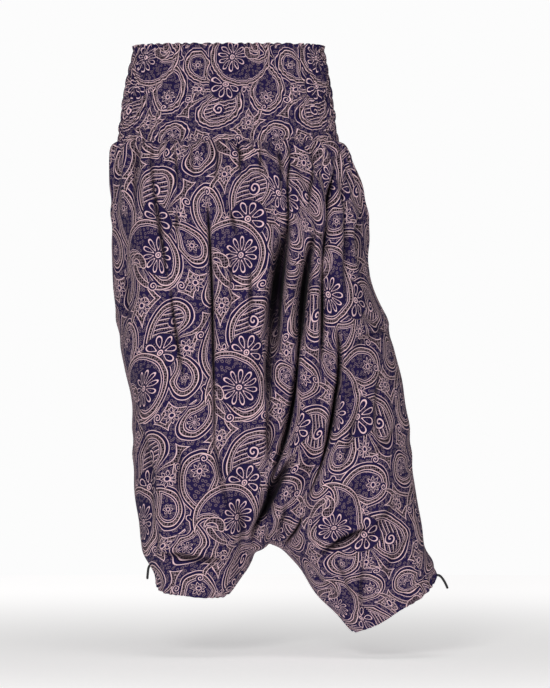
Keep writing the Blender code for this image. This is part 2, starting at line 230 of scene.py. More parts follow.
PETAL_BORDER = 1.15  # between two petals, in half-widths of a petal
LOOP_GROUND = 1.1  # plain ground round a daisy, in reaches of its petals
LOOP_SLENDERNESS = 1.35
LOOP_PETAL = (
    # the share of the way from a petal's middle to its edge, and the ink that begins there
    (0, TAUPE),
    (0.16, PLAIN),
    (0.76, PINK),
    (1.0, PLAIN),
    (1.2, None),
)
LOOP_EYE = (
    # the share of the eye's radius, and the ink that begins there
    (0, PINK),
    (0.3, PLAIN),
    (0.62, PINK),
    (1.0, PLAIN),
    (1.3, None),
)
RAY_REACH = 0.72  # of a daisy's reach
RAY_WIDTH = 0.17  # in half-widths of a petal
STAR_PETAL = ((0, TAUPE), (0.12, PLAIN), (0.74, PINK), (1.0, DARK), (1.12, None))
STAR_EYE = ((0, PLAIN), (0.7, PINK), (1.0, None))
SCROLL_LINE = 0.32  # of the pitch of its turns


def bands(nodes, distance, stops):
    """Printed bands side by side. A stop says where a band begins and which ink it has; None is bare."""
    low, high = stops[0][0], stops[-1][0] + 1.0
    place = add(nodes, "MapRange", distance, low, high, 0.0, 1.0)
    ink, cover = add(nodes, "ValToRGB", place)
    ramp = ink.node.color_ramp
    ramp.interpolation = "CONSTANT"
    while len(ramp.elements) < len(stops):
        ramp.elements.new(1.0)
    last = DARK
    for element, (start, tone) in zip(ramp.elements, stops):
        element.position = (start - low) / (high - low)
        last = last if tone is None else tone
        element.color = (last, last, last, 0.0 if tone is None else 1.0)
    return ink, cover


def motif_place(nodes, cloth, spot, turn):
    """The cloth's coordinates seen from one motif and from each of its repeats, turned by so many degrees."""
    moved = add(nodes, "VectorMath", cloth, (*spot, 0), operation="SUBTRACT")
    half = (TILE[0] / 2, TILE[1] / 2, 1)
    near = add(nodes, "VectorMath", moved, half, [-h for h in half], operation="WRAP")
    return add(nodes, "VectorRotate", near, (0, 0, 0), -math.radians(turn), rotation_type="Z_AXIS")


def boteh(nodes, local, head, bend, length):
    """How far a point lies outside a boteh, and how far along it: a round head, and a tail on an arc."""
    x, y, _ = add(nodes, "SeparateXYZ", local)
    hand = math.copysign(1, bend)
    ahead = add(nodes, "Math", x, hand, operation="MULTIPLY")
    aside = add(nodes, "Math", y, -hand, abs(bend), operation="MULTIPLY_ADD")
    turned = add(nodes, "Math", ahead, aside, operation="ARCTAN2")
    run = add(nodes, "Math", turned, abs(bend), operation="MULTIPLY")
    reach = add(nodes, "VectorMath", local, (0, bend, 0), operation="DISTANCE")
    across = add(nodes, "Math", reach, abs(bend), operation="SUBTRACT")
    on = add(nodes, "Clamp", run, 0.0, length)
    past = add(nodes, "Math", run, on, operation="SUBTRACT")
    spine = add(nodes, "VectorMath", add(nodes, "CombineXYZ", across, past, 0.0), operation="LENGTH")
    taper = add(nodes, "Math", on, math.pi / length, operation="MULTIPLY")
    swell = add(nodes, "Math", taper, operation="COSINE")
    width = add(nodes, "Math", swell, head / 2, head / 2, operation="MULTIPLY_ADD")
    return add(nodes, "Math", spine, width, operation="SUBTRACT"), run


def petals(nodes, local, count, reach, low, turn):
    """A point's place in its nearest petal, across and along it, and how far it lies off the centre."""
    x, y, _ = add(nodes, "SeparateXYZ", local)
    out = add(nodes, "VectorMath", local, operation="LENGTH")
    angle = add(nodes, "Math", add(nodes, "Math", y, x, operation="ARCTAN2"), turn, operation="ADD")
    half = math.pi / count
    fold = add(nodes, "Math", angle, half, -half, operation="WRAP")
    across = add(nodes, "Math", fold, PETAL_BORDER / half, operation="MULTIPLY")
    middle, span = (reach + low) / 2, (reach - low) / 2
    ahead = add(nodes, "Math", out, 1 / span, -middle / span, operation="MULTIPLY_ADD")
    return across, ahead, out


def loop_flower(nodes, under, local, count, reach, low, eye, turn):
    """A daisy of slender looped petals round a ringed eye, on plain ground, with fine rays between them."""
    across, ahead, out = petals(nodes, local, count, reach, low, turn)
    ink, cover = bands(nodes, out, ((0, PLAIN), (reach * LOOP_GROUND, None)))
    tone = add(nodes, "Mix", cover, under, ink)
    near = add(nodes, "Math", out, reach * RAY_REACH, operation="LESS_THAN")
    fan = add(nodes, "Math", across, PETAL_BORDER / 2, 0.0, operation="WRAP")
    rays = add(nodes, "Math", fan, RAY_WIDTH, operation="LESS_THAN")
    tone = add(nodes, "Mix", add(nodes, "Math", rays, near, operation="MULTIPLY"), tone, TAUPE)
    slender = add(nodes, "Math", across, LOOP_SLENDERNESS, operation="MULTIPLY")
    edge = add(nodes, "VectorMath", add(nodes, "CombineXYZ", slender, ahead, 0.0), operation="LENGTH")
    ink, cover = bands(nodes, edge, LOOP_PETAL)
    tone = add(nodes, "Mix", cover, tone, ink)
    ink, cover = bands(nodes, out, [(share * eye, tone_there) for share, tone_there in LOOP_EYE])
    return add(nodes, "Mix", cover, tone, ink)


def star_flower(nodes, under, local, count, reach, low, eye, turn):
    """A flower of pointed petals."""
    across, ahead, out = petals(nodes, local, count, reach, low, turn)
    sides = add(nodes, "Math", across, operation="ABSOLUTE")
    ends = add(nodes, "Math", ahead, operation="ABSOLUTE")
    edge = add(nodes, "Math", sides, ends, operation="ADD")
    ink, cover = bands(nodes, edge, STAR_PETAL)
    tone = add(nodes, "Mix", cover, under, ink)
    ink, cover = bands(nodes, out, [(share * eye, tone_there) for share, tone_there in STAR_EYE])
    return add(nodes, "Mix", cover, tone, ink)


def scroll(nodes, under, local, pitch, reach, hand):
    """A small spiral line on a round of plain ground."""
    x, y, _ = add(nodes, "SeparateXYZ", local)
    out = add(nodes, "VectorMath", local, operation="LENGTH")
    angle = add(nodes, "Math", y, x, operation="ARCTAN2")
    wound = add(nodes, "Math", angle, hand * pitch / (2 * math.pi), out, operation="MULTIPLY_ADD")
    turn = add(nodes, "Math", wound, pitch, 0.0, operation="WRAP")
    ink, _ = bands(nodes, turn, ((0, PINK), (pitch * SCROLL_LINE, PLAIN)))
    return add(nodes, "Mix", add(nodes, "Math", out, reach, operation="LESS_THAN"), under, ink)


def ribbon(nodes, under, local, width, bend, length):
    """A slender taper along an arc."""
    edge, _ = boteh(nodes, local, width, bend, length)
    ink, cover = bands(nodes, edge, RIBBON)
    return add(nodes, "Mix", cover, under, ink)


def outlined(nodes, under, edge, run):
    """A boteh's ringed outline, with a comb of short strokes between its two inner lines."""
    ink, cover = bands(nodes, edge, OUTLINE)
    tone = add(nodes, "Mix", cover, under, ink)
    comb = add(nodes, "Math", run, COMB_PITCH, 0.0, operation="WRAP")
    teeth = add(nodes, "Math", comb, COMB_STROKE, operation="LESS_THAN")
    row = add(nodes, "Math", edge, COMB_MIDDLE, COMB_REACH, operation="COMPARE")
    return add(nodes, "Mix", add(nodes, "Math", teeth, row, operation="MULTIPLY"), tone, TAUPE)


BOTEHS = {
    # the middle of its head in mm, its turn in degrees, the head's width, the tail's bend and the length
    "medallion": ((0, 0), 112, 47, 42, 132),
    "hook": ((30, 116), 15, 34, -42, 112),
    "leaf": ((-72, 80), 70, 34, -60, 110),
    "plume": ((76, 14), 95, 26, 46, 66),
    "drop": ((-92, -58), 32, 25, 36, 70),
}
ON_GROUND = (
    # motif, its middle in mm, its turn in degrees, and the sizes that its function takes
    (ribbon, (-52.6, -19.2), -70, 6.5, 56, 150),
    (ribbon, (-30, 150), 20, 6.5, -46, 96),
    (star_flower, (-30, 60), 0, 8, 16, 3, 5, 0.2),
    (star_flower, (68, 70), 0, 8, 16, 3, 5, 0.1),
    (star_flower, (-36, 142), 0, 8, 16, 3, 5, 0.3),
    (star_flower, (72, -46), 0, 8, 16, 3, 5, 0.5),
    (scroll, (-8, 88), 40, 4.8, 8.5, 1),
    (scroll, (88, 92), 40, 4.8, 8.5, -1),
    (scroll, (-16, 176), 40, 4.8, 8.5, 1),
    (scroll, (46, -52), 40, 4.8, 8.5, -1),
)
IN_BOTEHS = (
    # motif, its middle in mm, its turn in degrees, and the sizes that its function takes
    (scroll, (26, 114), 0, 8.0, 12.0, 1),
    (loop_flower, (0, 0), 0, 11, 32, 8, 5, 0.2),
    (ribbon, (-33, -14), 90, 7.5, 14, 66),
    (star_flower, (-74, 86), 0, 8, 15, 3, 5, 0),
    (scroll, (-68, 108), 0, 4.8, 7.5, -1),
    (star_flower, (76, 18), 0, 6, 10, 2, 3.5, 0),
    (loop_flower, (-92, -58), 0, 7, 12, 3, 2.6, 0.3),
)
DAISY_SPOT = (12, 60)
DAISY_SIZES = (8, 31, 8, 5.5, 0.39)  # petals, their reach and inner end, the eye, and the turn in radians
DAISY_RIM = ((0, PLAIN), (33, PINK), (34.2, DARK), (35.0, None))  # mm from its middle
STRIPES = ((0, PINK), (1.4, PLAIN), (4.2, TAUPE))  # mm from the start of each stripe
STRIPE_PITCH = 7.6
DOT_SPACING, DOT_STRAY = 4.6, 0.3
DOT_SIZE = 0.39  # of the spacing
PEBBLE_SPACING, PEBBLE_STRAY = 7.0, 0.8
PEBBLE_RING, PEBBLE_LINE = 0.27, 0.08  # how far out the ring lies and how far it reaches, of the spacing
PULL_SPREAD = (0.035, 0.014, 0)  # how fast the pull on the print changes across and down, for each mm
PULL_REACH = (8.0, 6.0, 0)  # mm
CRUMPLE_SPREAD = 0.11  # for each mm
CRUMPLE_HEIGHT = 0.0025


def paisley(nodes, cloth):
    """The all-over print, as a tone: botehs in ringed outlines, echoed over the ground, with flowers."""
    found = {}
    for name, (spot, turn, *sizes) in BOTEHS.items():
        found[name] = boteh(nodes, motif_place(nodes, cloth, spot, turn), *sizes)
    near, _ = found["medallion"]
    for name in ("hook", "leaf", "plume", "drop"):
        near = add(nodes, "Math", near, found[name][0], operation="MINIMUM")
    tone, _ = bands(nodes, near, ECHO)
    for motif, spot, turn, *sizes in ON_GROUND:
        tone = motif(nodes, tone, motif_place(nodes, cloth, spot, turn), *sizes)
    for name in ("drop", "leaf", "plume", "hook"):
        tone = outlined(nodes, tone, *found[name])

    # a large daisy covers a part of the hook, and the medallion covers a part of the daisy
    daisy = motif_place(nodes, cloth, DAISY_SPOT, 0)
    from_daisy = add(nodes, "VectorMath", daisy, operation="LENGTH")
    ink, cover = bands(nodes, from_daisy, DAISY_RIM)
    tone = add(nodes, "Mix", cover, tone, ink)
    tone = loop_flower(nodes, tone, daisy, *DAISY_SIZES)
    tone = outlined(nodes, tone, *found["medallion"])

    # what shows of the hook's middle is striped
    _, y, _ = add(nodes, "SeparateXYZ", motif_place(nodes, cloth, *BOTEHS["hook"][:2]))
    stripe, _ = bands(nodes, add(nodes, "Math", y, STRIPE_PITCH, 0.0, operation="WRAP"), STRIPES)
    inside = add(nodes, "Math", found["hook"][0], OUTLINE[1][0], operation="LESS_THAN")
    clear = add(nodes, "Math", from_daisy, DAISY_RIM[-1][0], operation="GREATER_THAN")
    tone = add(nodes, "Mix", add(nodes, "Math", inside, clear, operation="MULTIPLY"), tone, stripe)
    for motif, spot, turn, *sizes in IN_BOTEHS:
        tone = motif(nodes, tone, motif_place(nodes, cloth, spot, turn), *sizes)

    # dark dots fill the taupe, and taupe rings the navy
    spread = (1 / DOT_SPACING, None, None, None, DOT_STRAY)
    dots, *_ = add(nodes, "TexVoronoi", cloth, *spread, voronoi_dimensions="2D")
    dot = add(nodes, "Math", dots, DOT_SIZE, operation="LESS_THAN")
    lace = add(nodes, "Math", tone, TAUPE, SAME_INK, operation="COMPARE")
    spread = (1 / PEBBLE_SPACING, None, None, None, PEBBLE_STRAY)
    pebbles, *_ = add(nodes, "TexVoronoi", cloth, *spread, voronoi_dimensions="2D")
    ring = add(nodes, "Math", pebbles, PEBBLE_RING, PEBBLE_LINE, operation="COMPARE")
    ground = add(nodes, "Math", tone, NAVY, SAME_INK, operation="COMPARE")
    tone = add(nodes, "Mix", add(nodes, "Math", dot, lace, operation="MULTIPLY"), tone, DARK)
    return add(nodes, "Mix", add(nodes, "Math", ring, ground, operation="MULTIPLY"), tone, TAUPE)


def printed_viscose(name, inks, roughness):
    """Plain-woven viscose, screen printed: a soft matt cloth, whose colour is darkened with painted shade in
    the slits of its creases. inks go from the darkest to the lightest.
    """
    made = bpy.data.materials.new(name)
    made.use_nodes = True
    nodes = made.node_tree.nodes
    shader = nodes["Principled BSDF"]
    metres = add(nodes, "UVMap", uv_map="cut_cloth")
    cloth = add(nodes, "VectorMath", metres, 1000.0, operation="SCALE")
    # small wrinkles and the loose weave pull the print slightly out of true
    slow = add(nodes, "VectorMath", cloth, PULL_SPREAD, operation="MULTIPLY")
    _, pull = add(nodes, "TexNoise", slow, 1.0, 1.0)
    cloth = add(nodes, "VectorMath", pull, PULL_REACH, cloth, operation="MULTIPLY_ADD")
    cloth = add(nodes, "VectorMath", cloth, [reach / 2 for reach in PULL_REACH], operation="SUBTRACT")
    tone = paisley(nodes, cloth)
    colour, _ = add(nodes, "ValToRGB", tone)
    ramp = colour.node.color_ramp
    while len(ramp.elements) < len(inks):
        ramp.elements.new(1.0)
    for i, (element, ink) in enumerate(zip(ramp.elements, inks)):
        element.position = i / (len(inks) - 1)
        element.color = linear(ink)
    # painted shade: where a slit of a crease keeps the light out, the colour turns towards the darkest ink
    painted_shade = add(nodes, "Attribute", attribute_name="painted_crease_shade")[2]
    colour = add(nodes, "Mix", painted_shade, colour, linear(inks[0]), data_type="RGBA")
    made.node_tree.links.new(colour, shader.inputs["Base Color"])
    shader.inputs["Roughness"].default_value = roughness
    shader.inputs["IOR"].default_value = 1.45
    shader.inputs["Specular IOR Level"].default_value = 0.12
    shader.inputs["Sheen Weight"].default_value = 0.015
    shader.inputs["Sheen Roughness"].default_value = 0.5
    crumple, _ = add(nodes, "TexNoise", cloth, CRUMPLE_SPREAD, 3.0)
    height = add(nodes, "Bump", 0.5, CRUMPLE_HEIGHT, None, crumple)
    made.node_tree.links.new(height, shader.inputs["Normal"])
    return made


# Soft spun yarns, plain-woven and screen printed: matt, with almost no shine. The ink sinks in, so the reverse
# shows the same print, paler.
print_face = printed_viscose("printed_viscose", ("#120917", "#231A45", "#786470", "#ECC9D0"), 0.85)
print_reverse = printed_viscose("printed_viscose_reverse", ("#4A4458", "#565072", "#8A7C8A", "#A8969E"), 0.9)


SHELL = 0.0009  # how thick the cloth is shown
HARD_EDGE = 70  # degrees between two faces, past which the edge isn't smoothed


def cloth_piece(name, points, uv, painted_shade=None):
    """A thin shell on a grid of points, rows by columns, with its place on the print as a UV map.

    The last argument says how far a tight crease keeps the light from each point, from 0 to 1, and so how much
    painted shade darkens its colour. The normals point away from the wearer where the columns run anticlockwise
    as seen from above and the rows run down. A tube has one more column of UVs than of points, and closes.
    """
    rows, columns = points.shape[:2]
    index = np.arange(rows * columns).reshape(rows, columns)
    if uv.shape[1] > columns:
        index = np.concatenate((index, index[:, :1]), axis=1)
    spots = np.arange(uv.shape[0] * uv.shape[1]).reshape(uv.shape[:2])
    quads, corners = (
        np.stack((grid[:-1, :-1], grid[1:, :-1], grid[1:, 1:], grid[:-1, 1:]), axis=-1).reshape(-1, 4)
        for grid in (index, spots)
    )
    mesh = bpy.data.meshes.new(name)
    mesh.from_pydata(points.reshape(-1, 3).tolist(), [], quads.tolist())
    layer = mesh.uv_layers.new(name="cut_cloth")
    layer.data.foreach_set("uv", uv.reshape(-1, 2)[corners.ravel()].astype(np.float32).ravel())
    # the painted shade of the crease slits goes with the mesh as a point attribute
    if painted_shade is not None:
        painted_crease_shade = mesh.attributes.new("painted_crease_shade", "FLOAT", "POINT")
        painted_crease_shade.data.foreach_set("value", painted_shade.astype(np.float32).ravel())
    mesh.materials.append(print_face)
    mesh.materials.append(print_reverse)
    mesh.shade_smooth()
    made = bpy.data.objects.new(name, mesh)
    bpy.context.scene.collection.objects.link(made)
    bpy.context.view_layer.objects.active = made
    wall = made.modifiers.new("wall", "SOLIDIFY")
    wall.thickness = SHELL
    wall.offset = 0
    wall.material_offset = 1
    bpy.ops.object.modifier_apply(modifier="wall")
    mesh.set_sharp_from_angle(angle=math.radians(HARD_EDGE))
    return made


BAND_HEIGHT = 0.170
BAND_ROWS = 8  # puffs between nine rows of elastic thread
BAND_HEADER = 0.008  # frill above the first row of elastic
BAND_HEADER_STEPS = 5  # mesh rows in the frill
BAND_WALL = 0.0013
BAND_PUFF = 0.0020  # how far a puff stands out between two rows
BAND_ROUNDNESS = 0.7  # of a puff; 1 is a plain wave
BAND_FRILL = 0.6  # how full the frill's edge is, to a puff's 1
BAND_LAST = 0.9  # and the lower half of the lowest puff, which runs on into the body
BAND_PUCKERS = 104
BAND_PUCKER = 0.0021
BAND_GRIP = (0.9, 0.3)  # how full the puckers are on a row of elastic, and how much less so on a puff
BAND_SCALLOP = 0.0012  # how far the frill's edge goes up and down
BAND_SHIR = 0.0010
BAND_SHIR_DOWN = 0.0006
STRAY_WAVES = (
    # height, waves round the band, turn for each row of elastic, start
    (0.5, 7, 1.3, 0),
    (0.4, 17, 2.1, 1),
)
PUCKERS = (
    # depth of the valleys between them, half their number round the band, how far they stray, sharpness
    (1.8, BAND_PUCKERS / 2, 1.7, 3),
    (0.5, BAND_PUCKERS * 0.8, 3.0, 5),
)
PLUMP_WAVES = (
    # height, waves round the band, turn for each puff, start
    (0.35, 5, 2.7, 0),
    (0.30, 23, 1.9, 0),
)
BAND_REPEATS = 6  # of the print round the band, which is cut upside down
BAND_FULLNESS = 1.25  # flat cloth for each height of the band that shows
BAND_COLUMNS = 600
BAND_STEPS = 8  # mesh rows in one puff
RING_STEPS = 100  # points at which a section's inner and its outer curve are worked out
QUARTER_COLUMNS = 60
BAND_PRINT = (-0.036, -0.030)  # where the print lies at the middle of the back, on the top edge
SQUARENESS = 2.25  # of a section's outer corners; 2 is an ellipse
BAND_SECTIONS = (
    # z, left_x, right_x, back_y, front_y
    (0.0850, -0.162, 0.161, -0.110, 0.102),
    (0.0500, -0.169, 0.167, -0.117, 0.106),
    (0.0050, -0.179, 0.175, -0.124, 0.111),
    (-0.0450, -0.185, 0.181, -0.131, 0.115),
    (-0.0850, -0.190, 0.186, -0.137, 0.118),
)
BAND_MIDDLES = (0.034, 0.006)  # x of the middle of the back and of the front
BAND_SIDES = (-0.004, -0.058, 0.072)  # y of the sides, and x where the left and the right half reach furthest


def waves(table, place, row):
    """Uneven waves, added up. Each has a height, a turn for each unit of place and of row, and a start."""
    return sum(height * np.sin(count * place + shift * row + start) for height, count, shift, start in table)


def quarter_line(seam, mid_x, reach_y, side, roundness, columns):
    """A quarter of a ring seen from above, from its inner seam to the side, in even steps along the cloth."""
    turn = np.linspace(0, math.pi / 2, RING_STEPS)
    straight, curved = turn / (math.pi / 2), 1 - np.cos(turn)
    inner_x = seam[0] + (mid_x - seam[0]) * ((1 - roundness) * straight + roundness * curved)
    inner_y = seam[1] + (reach_y - seam[1]) * np.sin(turn)
    power = 2 / SQUARENESS
    outer_x = mid_x + (side[0] - mid_x) * np.sin(turn[1:]) ** power
    outer_y = side[1] + (reach_y - side[1]) * np.abs(np.cos(turn[1:])) ** power
    x = np.concatenate((inner_x, outer_x))
    y = np.concatenate((inner_y, outer_y))
    length = np.concatenate(([0], np.cumsum(np.hypot(np.diff(x), np.diff(y)))))
    share = np.linspace(0, 1, columns + 1)
    return share, np.interp(share * length[-1], length, x), np.interp(share * length[-1], length, y)


def band_ring(z, columns):
    """The waistband's inner line at one height, in even steps, starting at the middle of the back."""
    heights = [-row[0] for row in BAND_SECTIONS]
    place = float(np.interp(-z, heights, range(len(heights))))
    _, left_x, right_x, back_y, front_y = along(BAND_SECTIONS, place)
    back_x, front_x = BAND_MIDDLES
    side_y, left_mid, right_mid = BAND_SIDES
    lines = []
    for centre_x, side_x, mid_x, reach_y, turned in (
        (back_x, right_x, right_mid, back_y, False),
        (front_x, right_x, right_mid, front_y, True),
        (front_x, left_x, left_mid, front_y, False),
        (back_x, left_x, left_mid, back_y, True),
    ):
        side = (side_x, side_y)
        _, x, y = quarter_line((centre_x, reach_y), mid_x, reach_y, side, 0, QUARTER_COLUMNS)
        line = np.stack((x, y), axis=1)
        lines.append(line[:0:-1] if turned else line[:-1])
    loop = np.concatenate(lines + [lines[0][:1]])
    length = np.concatenate(([0], np.cumsum(np.hypot(*np.diff(loop, axis=0).T))))
    wanted = np.linspace(0, length[-1], columns, endpoint=False)
    x, y = (np.interp(wanted, length, loop[:, k]) for k in (0, 1))
    return np.stack((x, y, np.full(columns, z)), axis=1)


puff_height = (BAND_HEIGHT - BAND_HEADER) / BAND_ROWS
header_drops = np.linspace(0, BAND_HEADER, BAND_HEADER_STEPS, endpoint=False)
puff_drops = BAND_HEADER + puff_height * np.arange(BAND_ROWS * BAND_STEPS + 1) / BAND_STEPS
turn = np.linspace(0, 2 * math.pi, BAND_COLUMNS, endpoint=False)
drops = np.concatenate((header_drops, puff_drops))
rings = []
for drop in drops:
    ring = band_ring(BAND_HEIGHT / 2 - drop, BAND_COLUMNS)
    way = np.roll(ring, -1, axis=0) - np.roll(ring, 1, axis=0)
    way = np.stack((way[:, 1], -way[:, 0], np.zeros(BAND_COLUMNS)), axis=1)
    way /= np.linalg.norm(way, axis=1, keepdims=True)
    row = (drop - BAND_HEADER) / puff_height
    header = max(0.0, 1 - drop / BAND_HEADER)  # 1 at the frill's edge
    puff = abs(math.sin(math.pi * row)) ** BAND_ROUNDNESS if row > 0 else BAND_FRILL * header
    puff = max(puff, BAND_LAST * (row > BAND_ROWS - 0.5))
    stray = waves(STRAY_WAVES, turn, row)
    pucker = np.ones(BAND_COLUMNS)
    for depth, count, wander, sharpness in PUCKERS:
        pucker -= depth * np.abs(np.cos(count * turn + wander * stray)) ** sharpness
    grip = BAND_GRIP[0] - BAND_GRIP[1] * puff + header
    plump = 1 + waves(PLUMP_WAVES, turn, math.floor(row))
    reach = BAND_WALL + BAND_PUFF * puff * plump + BAND_PUCKER * grip * pucker
    ring = ring + way * reach[:, None]
    ring[:, 2] += BAND_SCALLOP * header * np.cos(BAND_PUCKERS / 2 * turn + 2 * stray)
    rings.append(ring)
band_points = np.array(rings)
band_u = BAND_PRINT[0] - np.linspace(0, BAND_REPEATS * TILE[0] / 1000, BAND_COLUMNS + 1)
band_v = BAND_PRINT[1] + drops * BAND_FULLNESS
band_uv = np.stack(np.broadcast_arrays(band_u[None, :], band_v[:, None]), axis=-1)
# the elastic shirs the cloth unevenly, so the print jumps a little from pucker to pucker
closed = np.append(turn, 2 * math.pi)
for k, drop in enumerate(drops):
    row = (drop - BAND_HEADER) / puff_height
    across = BAND_PUCKERS * closed + 3 * np.sin(9 * closed + 1.7 * row)
    down = BAND_PUCKERS / 2 * closed + 2 * np.sin(13 * closed - 2.1 * row)
    band_uv[k, :, 0] += BAND_SHIR * np.sin(across)
    band_uv[k, :, 1] += BAND_SHIR_DOWN * np.sin(down)
band = cloth_piece("smocked_waistband", band_points, band_uv)
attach(band, "root")
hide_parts("waistband")


# ---- Panels ----------------------------------------------------------------------------------------------
# Four wide panels of the same viscose, a back and a front for each leg, sewn together at the sides, down the
# middle and round the inner leg. They are gathered onto the waistband, hang from it in deep folds and pouch
# over the hems, which are turned in as casings and drawn up.
LEFT_SECTIONS = (
    # side_x, side_y, side_z, mid_x, back_y, front_y, lift
    (-0.190, -0.004, -0.0853, -0.058, -0.137, 0.118, 0.000),
    (-0.203, -0.004, -0.0980, -0.066, -0.156, 0.132, 0.000),
    (-0.206, -0.004, -0.1650, -0.078, -0.173, 0.145, 0.000),
    (-0.202, -0.004, -0.2400, -0.088, -0.181, 0.150, 0.000),
    (-0.198, -0.004, -0.3250, -0.090, -0.177, 0.152, 0.000),
    (-0.193, -0.002, -0.4200, -0.088, -0.169, 0.152, 0.000),
    (-0.174, 0.000, -0.5200, -0.082, -0.160, 0.150, 0.000),
    (-0.167, 0.000, -0.6100, -0.074, -0.152, 0.146, 0.000),
    (-0.163, 0.000, -0.6900, -0.066, -0.144, 0.140, 0.002),
    (-0.156, 0.000, -0.7420, -0.060, -0.134, 0.130, 0.006),
    (-0.155, 0.000, -0.7720, -0.057, -0.124, 0.120, 0.008),
    (-0.153, 0.000, -0.7870, -0.056, -0.116, 0.112, 0.012),
    (-0.145, 0.002, -0.7980, -0.057, -0.108, 0.105, 0.018),
    (-0.136, 0.004, -0.8090, -0.059, -0.099, 0.098, 0.024),
    (-0.129, 0.006, -0.8200, -0.062, -0.089, 0.090, 0.028),
    (-0.126, 0.006, -0.8310, -0.064, -0.084, 0.086, 0.030),
)
RIGHT_SECTIONS = (
    # side_x, side_y, side_z, mid_x, back_y, front_y, lift
    (0.186, -0.004, -0.0853, 0.072, -0.137, 0.118, 0.000),
    (0.200, -0.004, -0.0980, 0.084, -0.156, 0.132, 0.000),
    (0.228, -0.004, -0.1520, 0.108, -0.173, 0.145, 0.000),
    (0.241, -0.004, -0.2250, 0.132, -0.181, 0.150, 0.000),
    (0.240, -0.006, -0.3000, 0.136, -0.179, 0.152, 0.000),
    (0.267, -0.008, -0.3780, 0.144, -0.175, 0.152, 0.000),
    (0.291, -0.010, -0.4650, 0.156, -0.171, 0.150, 0.000),
    (0.311, -0.014, -0.5550, 0.172, -0.168, 0.146, 0.000),
    (0.317, -0.018, -0.6350, 0.190, -0.163, 0.134, 0.000),
    (0.323, -0.022, -0.6980, 0.206, -0.158, 0.118, 0.001),
    (0.331, -0.026, -0.7420, 0.220, -0.151, 0.098, 0.003),
    (0.336, -0.032, -0.7690, 0.232, -0.143, 0.076, 0.005),
    (0.342, -0.038, -0.7910, 0.246, -0.133, 0.056, 0.010),
    (0.352, -0.044, -0.8080, 0.260, -0.123, 0.036, 0.014),
    (0.356, -0.048, -0.8230, 0.275, -0.113, 0.018, 0.018),
    (0.354, -0.050, -0.8370, 0.284, -0.108, 0.010, 0.020),
)
CENTRE_LINE = (
    # back_x, front_x, z, back_y, front_y
    (0.034, 0.006, -0.0853, -0.137, 0.118),
    (0.046, 0.009, -0.0990, -0.153, 0.130),
    (0.072, 0.017, -0.1650, -0.169, 0.143),
    (0.088, 0.025, -0.2420, -0.174, 0.147),
    (0.086, 0.034, -0.3280, -0.168, 0.146),
    (0.074, 0.043, -0.4250, -0.154, 0.140),
    (0.070, 0.052, -0.5250, -0.138, 0.130),
    (0.068, 0.060, -0.6150, -0.122, 0.116),
    (0.068, 0.066, -0.6950, -0.100, 0.094),
    (0.069, 0.069, -0.7500, -0.066, 0.060),
    (0.070, 0.070, -0.7800, 0.000, 0.000),
)
INSEAMS = {
    "left": (
        # x, y, z
        (0.044, 0.000, -0.7900),
        (0.040, 0.001, -0.8060),
        (0.031, 0.002, -0.8220),
        (0.014, 0.003, -0.8370),
        (0.001, 0.003, -0.8460),
    ),
    "right": (
        # x, y, z
        (0.096, -0.004, -0.7910),
        (0.120, -0.014, -0.8190),
        (0.150, -0.026, -0.8530),
        (0.190, -0.038, -0.8990),
        (0.213, -0.046, -0.9210),
    ),
}
SECTIONS = {"left": LEFT_SECTIONS, "right": RIGHT_SECTIONS}
CROTCH_ROW = len(CENTRE_LINE) - 1
LEG_ROUNDING = 2  # rows below the crotch over which a leg's section turns round
HEM_SEAM_ROW = len(LEFT_SECTIONS) - 2
HEM_EDGE_ROW = len(LEFT_SECTIONS) - 1
HEM_DRAW_ROW = HEM_EDGE_ROW - 3  # where the gathers of the hem begin
# Large folds. Each runs down one face as a valley with a ridge beside it, on a bent line from top to end.
FOLDS = (
    # face, z_top, z_end, x_top, x_middle, x_end, depth, left_width, right_width
    ("back", -0.130, -0.640, 0.104, 0.080, 0.069, 0.030, 0.018, 0.019),
    ("back", -0.230, -0.700, 0.143, 0.112, 0.078, 0.030, 0.017, 0.020),
    ("back", -0.110, -0.600, 0.190, 0.172, 0.152, 0.028, 0.017, 0.026),
    ("back", -0.500, -0.775, 0.186, 0.140, 0.052, 0.030, 0.018, 0.026),
    ("back", -0.220, -0.620, -0.029, -0.024, -0.014, 0.014, 0.013, 0.024),
    ("back", -0.110, -0.330, -0.106, -0.103, -0.100, 0.009, 0.014, 0.020),
    ("back", -0.100, -0.240, 0.018, 0.017, 0.016, 0.010, 0.012, 0.016),
    ("back", -0.190, -0.430, -0.178, -0.180, -0.176, 0.010, 0.012, 0.016),
    ("back", -0.640, -0.790, 0.236, 0.220, 0.150, 0.012, 0.018, 0.022),
    ("front", -0.110, -0.650, 0.085, 0.080, 0.066, 0.026, 0.018, 0.022),
    ("front", -0.180, -0.720, -0.010, 0.010, 0.050, 0.024, 0.018, 0.024),
    ("front", -0.120, -0.520, 0.178, 0.176, 0.160, 0.018, 0.016, 0.024),
    ("front", -0.120, -0.560, -0.085, -0.078, -0.060, 0.018, 0.016, 0.024),
    ("front", -0.105, -0.330, -0.150, -0.152, -0.154, 0.011, 0.014, 0.020),
    ("front", -0.105, -0.300, 0.036, 0.038, 0.040, 0.012, 0.013, 0.018),
)
FOLD_ROUNDNESS = 1.7  # 2 is a round valley, 1 a sharp one
FOLD_SWELL = 0.8  # 1 makes a fold deepest halfway down, and less makes it deepest above that
RIDGE_HEIGHT = 0.30  # of its valley's depth
RIDGE_PLACE = 2.1  # from the valley's line, in widths of its left side
RIDGE_WIDTH = 1.1  # in the same measure
GATHERS = {"back": 8, "front": 6}  # on each panel
GATHER_DEPTH = 0.0065
GATHER_REACH = 0.160
GATHER_START = 0.008  # below the waist seam, where they are at their full depth
GATHER_DRIFT = 0.35  # how far they stray from even places, in gathers
GATHER_ENDS = 12  # they fade out over the last twelfth before a panel's own seams
